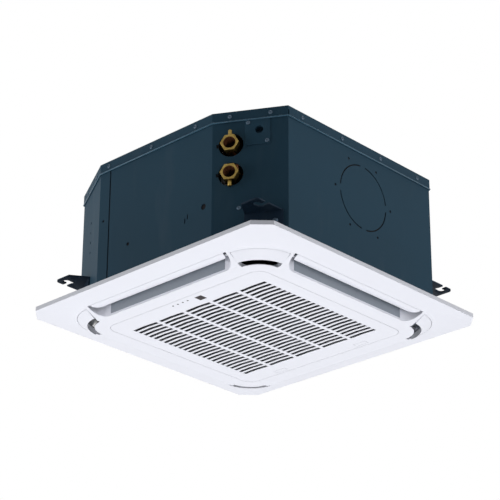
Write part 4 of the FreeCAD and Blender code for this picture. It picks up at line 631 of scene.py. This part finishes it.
def net_tree(material):
    """Crossed threads over a flat field."""
    tree = Growth("FilterThreads", {"Wide": "NodeSocketFloat", "Long": "NodeSocketFloat",
                                    "Pitch": "NodeSocketFloat", "Thread": "NodeSocketFloat"})
    both = tree.node("GeometryNodeJoinGeometry")
    thread, pitch = tree.given("Thread"), tree.given("Pitch")
    for along, across, flip in (("Wide", "Long", 0.0), ("Long", "Wide", math.pi / 2)):
        count = tree.product("FLOOR", tree.product("DIVIDE", tree.given(along), pitch), 0.0)
        span = tree.product("MULTIPLY", tree.product("SUBTRACT", count, 1.0), pitch)
        line = tree.node("GeometryNodeMeshLine", {"mode": "OFFSET"},
                         {"Count": count, "Start Location": tree.vector(tree.product("MULTIPLY", span, -0.5)),
                          "Offset": tree.vector(pitch)})
        span_all = tree.vector(thread, tree.given(across), thread)
        wire = tree.node("GeometryNodeMeshCube", inputs={"Size": span_all})
        spread = tree.node("GeometryNodeInstanceOnPoints",
                           inputs={"Points": line.outputs[0], "Instance": wire.outputs[0]})
        turned = tree.node("GeometryNodeTransform", inputs={"Geometry": spread.outputs[0],
                                                            "Rotation": (0.0, 0.0, flip)})
        tree.tree.links.new(turned.outputs[0], both.inputs[0])
    tree.close(both.outputs[0], material)
    return tree


class CassetteOperator(bpy.types.Operator):
    """Shared settings of the dressing steps."""

    bl_options = {"REGISTER"}

    @property
    def sizes(self):
        return bpy.context.scene.cassette_sizes

    @property
    def colours(self):
        return bpy.context.scene.cassette_colours


class DressCase(CassetteOperator):
    """Paint the case, its hangers and its drain plate, lay the hem and finish the foam."""

    bl_idname = "cassette.case"
    bl_label = "Case"

    def execute(self, context):
        paint = case_paint("case_paint", self.colours.case)
        dress(paint, "top_cover", "case_front", "case_right", "case_back", "case_left")
        # The drain plate's paint is a lighter copy of the case paint: painted light that stands in for the
        # plate's lit edges
        lifted = rgba(self.colours.case, PLATE_PAINTED_LIGHT_LIFT)[:3]
        soften("drain_outlet", self.sizes.edge, case_paint("plate_paint", lifted))
        dark = case_paint("hanger_paint", self.colours.hanger)
        for name in ("hanger_back_right", "hanger_front_right", "hanger_back_left", "hanger_front_left"):
            soften(name, self.sizes.edge, dark)
        # The hem's paint is a lighter, glossier copy of the case paint with a bluish sheen: a painted
        # highlight along the flange's lower edge
        hem_highlight_shade = rgba(self.colours.case, HEM_HIGHLIGHT_LIFT)[:3]
        self.add_hem(case_paint("hem_paint", hem_highlight_shade, gloss=0.5, sheen=HEM_PAINTED_SHEEN))
        dress(foam("foam_black", self.colours.foam), "insulation", "panel_seal", "motor_mounts")
        return {"FINISHED"}

    def add_hem(self, material):
        """The rolled hem along the lower edge of the cover's flange."""
        low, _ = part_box("top_cover")
        level = low.z + RIM_BAND
        rim = [vertex.co.to_2d() for vertex in NODES["top_cover"].data.vertices if vertex.co.z < level]
        route = [rim[index] for index in convex_hull_2d(rim)]
        curve = bpy.data.curves.new("cover_hem", "CURVE")
        curve.dimensions = "3D"
        curve.bevel_depth = self.sizes.hem
        curve.bevel_resolution = 3
        spline = curve.splines.new("POLY")
        spline.points.add(len(route) - 1)
        for point, place in zip(spline.points, route):
            point.co = (place.x, place.y, low.z + self.sizes.hem / 2, 1.0)
        spline.use_cyclic_u = True
        draft = new_object("cover_hem_path", curve)
        bpy.context.view_layer.update()
        mesh = bpy.data.meshes.new_from_object(draft.evaluated_get(bpy.context.evaluated_depsgraph_get()))
        bpy.data.objects.remove(draft)
        mesh.name = "cover_hem"
        mesh.materials.clear()
        mesh.materials.append(material)
        mesh.shade_smooth()
        piece = new_object("cover_hem", mesh)
        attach(piece, "unit")


class DressScrews(CassetteOperator):
    """Make the screw heads of the case and finish the plated steel."""

    bl_idname = "cassette.screws"
    bl_label = "Screws"

    def execute(self, context):
        steel = metal("plated_steel", self.colours.steel, roughness=0.34)
        tree = screw_tree(metal("screw_steel", self.colours.screw, roughness=0.36))
        for name in ("cover_screws", "hanger_screws", "case_screws"):
            add_screws(name, tree, self.sizes.recess_share)
        dress(steel, "panel_screws", "fan_nut", "motor_shaft", "control_box", "control_box_cover")
        return {"FINISHED"}


class DressFittings(CassetteOperator):
    """Make the brass water fittings with their threads and bleed screws."""

    bl_idname = "cassette.fittings"
    bl_label = "Water fittings"

    def execute(self, context):
        brass = metal("brass_body", self.colours.brass, roughness=0.30, stain=0.85, spots=160.0)
        # The gasket's dark rubber is painted shade at the foot of each bore
        rubber = foam("gasket_rubber", self.colours.gasket)
        # The thread's darker, redder brass is painted shade inside the bores
        tree = thread_tree(metal("thread_brass", self.colours.thread, roughness=0.42, stain=0.6, spots=160.0))
        mounts = {mount["name"]: mount for mount in frame["record"]["mounts"]}
        for name, mount_name in (("upper", "water_outlet"), ("lower", "water_inlet")):
            soften("water_fitting_" + name, self.sizes.edge, brass)
            soften("bleed_screw_" + name, self.sizes.edge, brass)
            mount = mounts[mount_name]
            self.add_thread("water_thread_" + name, tree, mount)
            self.add_shade_gasket("bore_shade_gasket_" + name, rubber, mount)
        return {"FINISHED"}

    def add_shade_gasket(self, name, material, mount):
        """A dark flat gasket on the seat at the bottom of the bore: painted shade at the bore's foot."""
        inner, thick = self.sizes.shade_gasket_hole, self.sizes.shade_gasket_thick
        outer = mount["dims"]["r_mm"] * MM - self.sizes.thread_depth
        soft = thick * SHADE_GASKET_ROUND_SHARE
        profile = [(inner, 0), (outer, 0), (outer, thick - soft), (outer - soft, thick),
                   (inner + soft, thick), (inner, thick - soft)]
        piece = new_object(name, lathe(name, profile))
        axis = Vector(mount["axis"])
        seat = Vector(mount["pos_m"]) - axis * mount["dims"]["length_mm"] * MM
        turn = axis.to_track_quat("Z", "Y").to_matrix().to_4x4()
        piece.data.transform(Matrix.Translation(seat) @ turn)
        piece.data.materials.append(material)
        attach(piece, "unit")

    def add_thread(self, name, tree, mount):
        """The ridge of the pipe thread along a fitting's bore."""
        reach = mount["dims"]["length_mm"] * MM
        piece = new_object(name, bpy.data.meshes.new(name))
        tree.grow(piece, Radius=mount["dims"]["r_mm"] * MM, Height=reach - 3 * self.sizes.thread_depth,
                  Turns=reach / self.sizes.thread_pitch, Ridge=self.sizes.thread_depth)
        axis = Vector(mount["axis"])
        foot = Vector(mount["pos_m"]) - axis * (reach - self.sizes.thread_depth)
        turn = axis.to_track_quat("Z", "Y").to_matrix().to_4x4()
        piece.data.transform(Matrix.Translation(foot) @ turn)
        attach(piece, "unit")


class DressCoil(CassetteOperator):
    """Finish the fins and the copper of the heat exchanger."""

    bl_idname = "cassette.coil"
    bl_label = "Heat exchanger"

    def execute(self, context):
        dress(finned(self.colours.fins), "coil_fins")
        copper = metal("copper", self.colours.copper, roughness=0.32, stain=0.5)
        dress(copper, "coil_header_upper", "coil_header_lower", "return_bends")
        return {"FINISHED"}


class DressPanel(CassetteOperator):
    """Finish the white panel, its corner covers and the outlet lining, whose grey is painted shade."""

    bl_idname = "cassette.panel"
    bl_label = "Panel"

    def execute(self, context):
        white = moulding("panel_white", self.colours.panel)
        dress(white, "panel_frame", "corner_cover_back_right", "corner_cover_back_left",
              "corner_cover_front_left", "corner_cover_front_right")
        # The lining's grey is painted shade on the outlet walls, darker than the white around it
        dress(moulding("guide_grey", self.colours.guide, roughness=0.55), "air_guide")
        return {"FINISHED"}


class DressLouvres(CassetteOperator):
    """Finish the four louvres."""

    bl_idname = "cassette.louvres"
    bl_label = "Louvres"

    def execute(self, context):
        white = moulding("louvre_white", self.colours.panel, roughness=0.38)
        dress(white, "louvre_front", "louvre_right", "louvre_back", "louvre_left")
        return {"FINISHED"}


class DressGrille(CassetteOperator):
    """Finish the intake grille with its pads, window, lamps and board."""

    bl_idname = "cassette.grille"
    bl_label = "Intake grille"

    def execute(self, context):
        white = moulding("grille_white", self.colours.panel, roughness=0.40)
        dress(white, "intake_grille", "push_pad_right", "push_pad_left")
        dress(dark_window(self.colours.window, self.colours.swirl), "receiver_window")
        dress(moulding("lamp_smoke", self.colours.lens, roughness=0.45), "lamp_lenses")
        dress(circuit(self.colours.board, self.colours.track), "display_board", "circuit_board")
        return {"FINISHED"}


class DressFilter(CassetteOperator):
    """Finish the air filter and lay its threads."""

    bl_idname = "cassette.filter"
    bl_label = "Air filter"

    def execute(self, context):
        net = woven_net_painted_shade(self.colours.filter)
        dress(net, "air_filter")
        low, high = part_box("air_filter")
        piece = new_object("filter_threads", bpy.data.meshes.new("filter_threads"))
        margin = NET_MARGIN * self.sizes.net_pitch
        net_tree(net).grow(piece, Wide=high.x - low.x - margin, Long=high.y - low.y - margin,
                           Pitch=self.sizes.net_pitch, Thread=self.sizes.net_thread)
        level = low.z - self.sizes.net_thread / 4
        piece.data.transform(Matrix.Translation(((low.x + high.x) / 2, (low.y + high.y) / 2, level)))
        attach(piece, "filter")
        return {"FINISHED"}


class DressInside(CassetteOperator):
    """Finish the fan, motor, drain pan and electrics."""

    bl_idname = "cassette.inside"
    bl_label = "Inside"

    def execute(self, context):
        dark = moulding("inner_plastic", self.colours.inner, roughness=0.5)
        dress(dark, "bell_mouth", "turbo_fan", "drain_pump", "pump_float", "terminal_block", "cable_gland")
        pale = moulding("pan_white", self.colours.pan, roughness=0.6)
        dress(pale, "drain_pan", "louvre_motor_front", "louvre_motor_right", "louvre_motor_back",
              "louvre_motor_left")
        dress(foam("hose_rubber", self.colours.hose), "drain_hose")
        dress(case_paint("motor_paint", self.colours.motor), "fan_motor")
        return {"FINISHED"}


class SetStage(CassetteOperator):
    """Lay the floor, set the lamps and the background and place the camera."""

    bl_idname = "cassette.stage"
    bl_label = "Stage"

    def execute(self, context):
        self.lay_floor()
        self.set_world()
        for name, place, side, power in LAMPS:
            self.add_lamp(name, place, side, power)
        self.add_camera()
        bpy.context.scene.view_settings.view_transform = "Standard"
        return {"FINISHED"}

    def lay_floor(self):
        """A floor that looks almost white and still takes a shadow."""
        shape = bmesh.new()
        bmesh.ops.create_grid(shape, x_segments=1, y_segments=1, size=self.sizes.floor_half)
        mesh = bpy.data.meshes.new("floor")
        shape.to_mesh(mesh)
        shape.free()
        mesh.transform(Matrix.Translation((0, 0, -self.sizes.floor_drop)))
        floor = new_object("floor", mesh)
        finish = Finish("studio_floor")
        drift = finish.noise(scale=0.4, detail=2.0)
        tone = finish.mix(drift, rgba(self.colours.floor, 0.98), rgba(self.colours.floor))
        finish.surface(Base_Color=tone, Roughness=0.9)
        pale = finish.node("ShaderNodeEmission", inputs={"Color": WHITE, "Strength": 1.0})
        both = finish.node("ShaderNodeMixShader", inputs={0: seen_directly(finish) * FLOOR_GLOW,
                                                          1: finish.shader.outputs[0], 2: pale.outputs[0]})
        finish.tree.links.new(both.outputs[0], finish.output.inputs["Surface"])
        mesh.materials.append(finish.material)

    def set_world(self):
        """A white background that sheds only a soft light."""
        world = bpy.data.worlds.new("studio")
        bpy.context.scene.world = world
        world.use_nodes = True
        graph = Graph(world.node_tree)
        world.node_tree.nodes.clear()
        soft = graph.node("ShaderNodeBackground", inputs={"Color": SOFT_SKY, "Strength": SOFT_LEVEL})
        white = graph.node("ShaderNodeBackground", inputs={"Color": WHITE, "Strength": 1.0})
        both = graph.node("ShaderNodeMixShader", inputs={0: seen_directly(graph), 1: soft.outputs[0],
                                                         2: white.outputs[0]})
        graph.node("ShaderNodeOutputWorld", inputs={0: both.outputs[0]})

    def add_lamp(self, name, place, side, power):
        light = bpy.data.lights.new(name, "AREA")
        light.shape = "SQUARE"
        light.size = side
        light.energy = power
        lamp = new_object(name, light)
        lamp.location = place
        lamp.rotation_euler = (-Vector(place)).to_track_quat("-Z", "Y").to_euler()
        lamp.visible_camera = False

    def add_camera(self):
        """The photograph's view: from below, towards the pipe corner."""
        turn, rise, roll = (math.radians(angle) for angle in (VIEW_TURN, VIEW_RISE, VIEW_ROLL))
        ahead = Vector((-math.sin(turn) * math.cos(rise), math.cos(turn) * math.cos(rise), math.sin(rise)))
        right = Vector((math.cos(turn), math.sin(turn), 0))
        above = right.cross(ahead)
        across = right * math.cos(roll) + above * math.sin(roll)
        upward = above * math.cos(roll) - right * math.sin(roll)
        data = bpy.data.cameras.new("camera")
        data.sensor_width = SENSOR_WIDTH
        data.lens = VIEW_FOCAL / PICTURE_WIDTH * data.sensor_width
        data.clip_end = VIEW_REACH
        camera = new_object("camera", data)
        pose = Matrix((across, upward, -ahead)).transposed().to_4x4()
        pose.translation = VIEW_PLACE
        camera.matrix_world = pose
        bpy.context.scene.camera = camera


class CassettePanel(bpy.types.Panel):
    """Lists the dressing steps in the sidebar."""

    bl_idname = "VIEW3D_PT_cassette"
    bl_label = "Ceiling Cassette"
    bl_space_type = "VIEW_3D"
    bl_region_type = "UI"
    bl_category = "Cassette"

    def draw(self, context):
        for step in STEPS:
            self.layout.operator(step.bl_idname)


STEPS = (SetStage, DressCase, DressScrews, DressFittings, DressCoil, DressPanel, DressLouvres, DressGrille,
         DressFilter, DressInside)
CLASSES = (CassetteSizes, CassetteColours) + STEPS + (CassettePanel,)


def register():
    for item in CLASSES:
        bpy.utils.register_class(item)
    bpy.types.Scene.cassette_sizes = PointerProperty(type=CassetteSizes)
    bpy.types.Scene.cassette_colours = PointerProperty(type=CassetteColours)


def unregister():
    del bpy.types.Scene.cassette_colours
    del bpy.types.Scene.cassette_sizes
    for item in reversed(CLASSES):
        bpy.utils.unregister_class(item)


def main():
    register()
    bpy.ops.cassette.stage()
    bpy.ops.cassette.case()
    bpy.ops.cassette.screws()
    bpy.ops.cassette.fittings()
    bpy.ops.cassette.coil()
    bpy.ops.cassette.panel()
    bpy.ops.cassette.louvres()
    bpy.ops.cassette.grille()
    bpy.ops.cassette.filter()
    bpy.ops.cassette.inside()


if __name__ == "__main__":
    main()
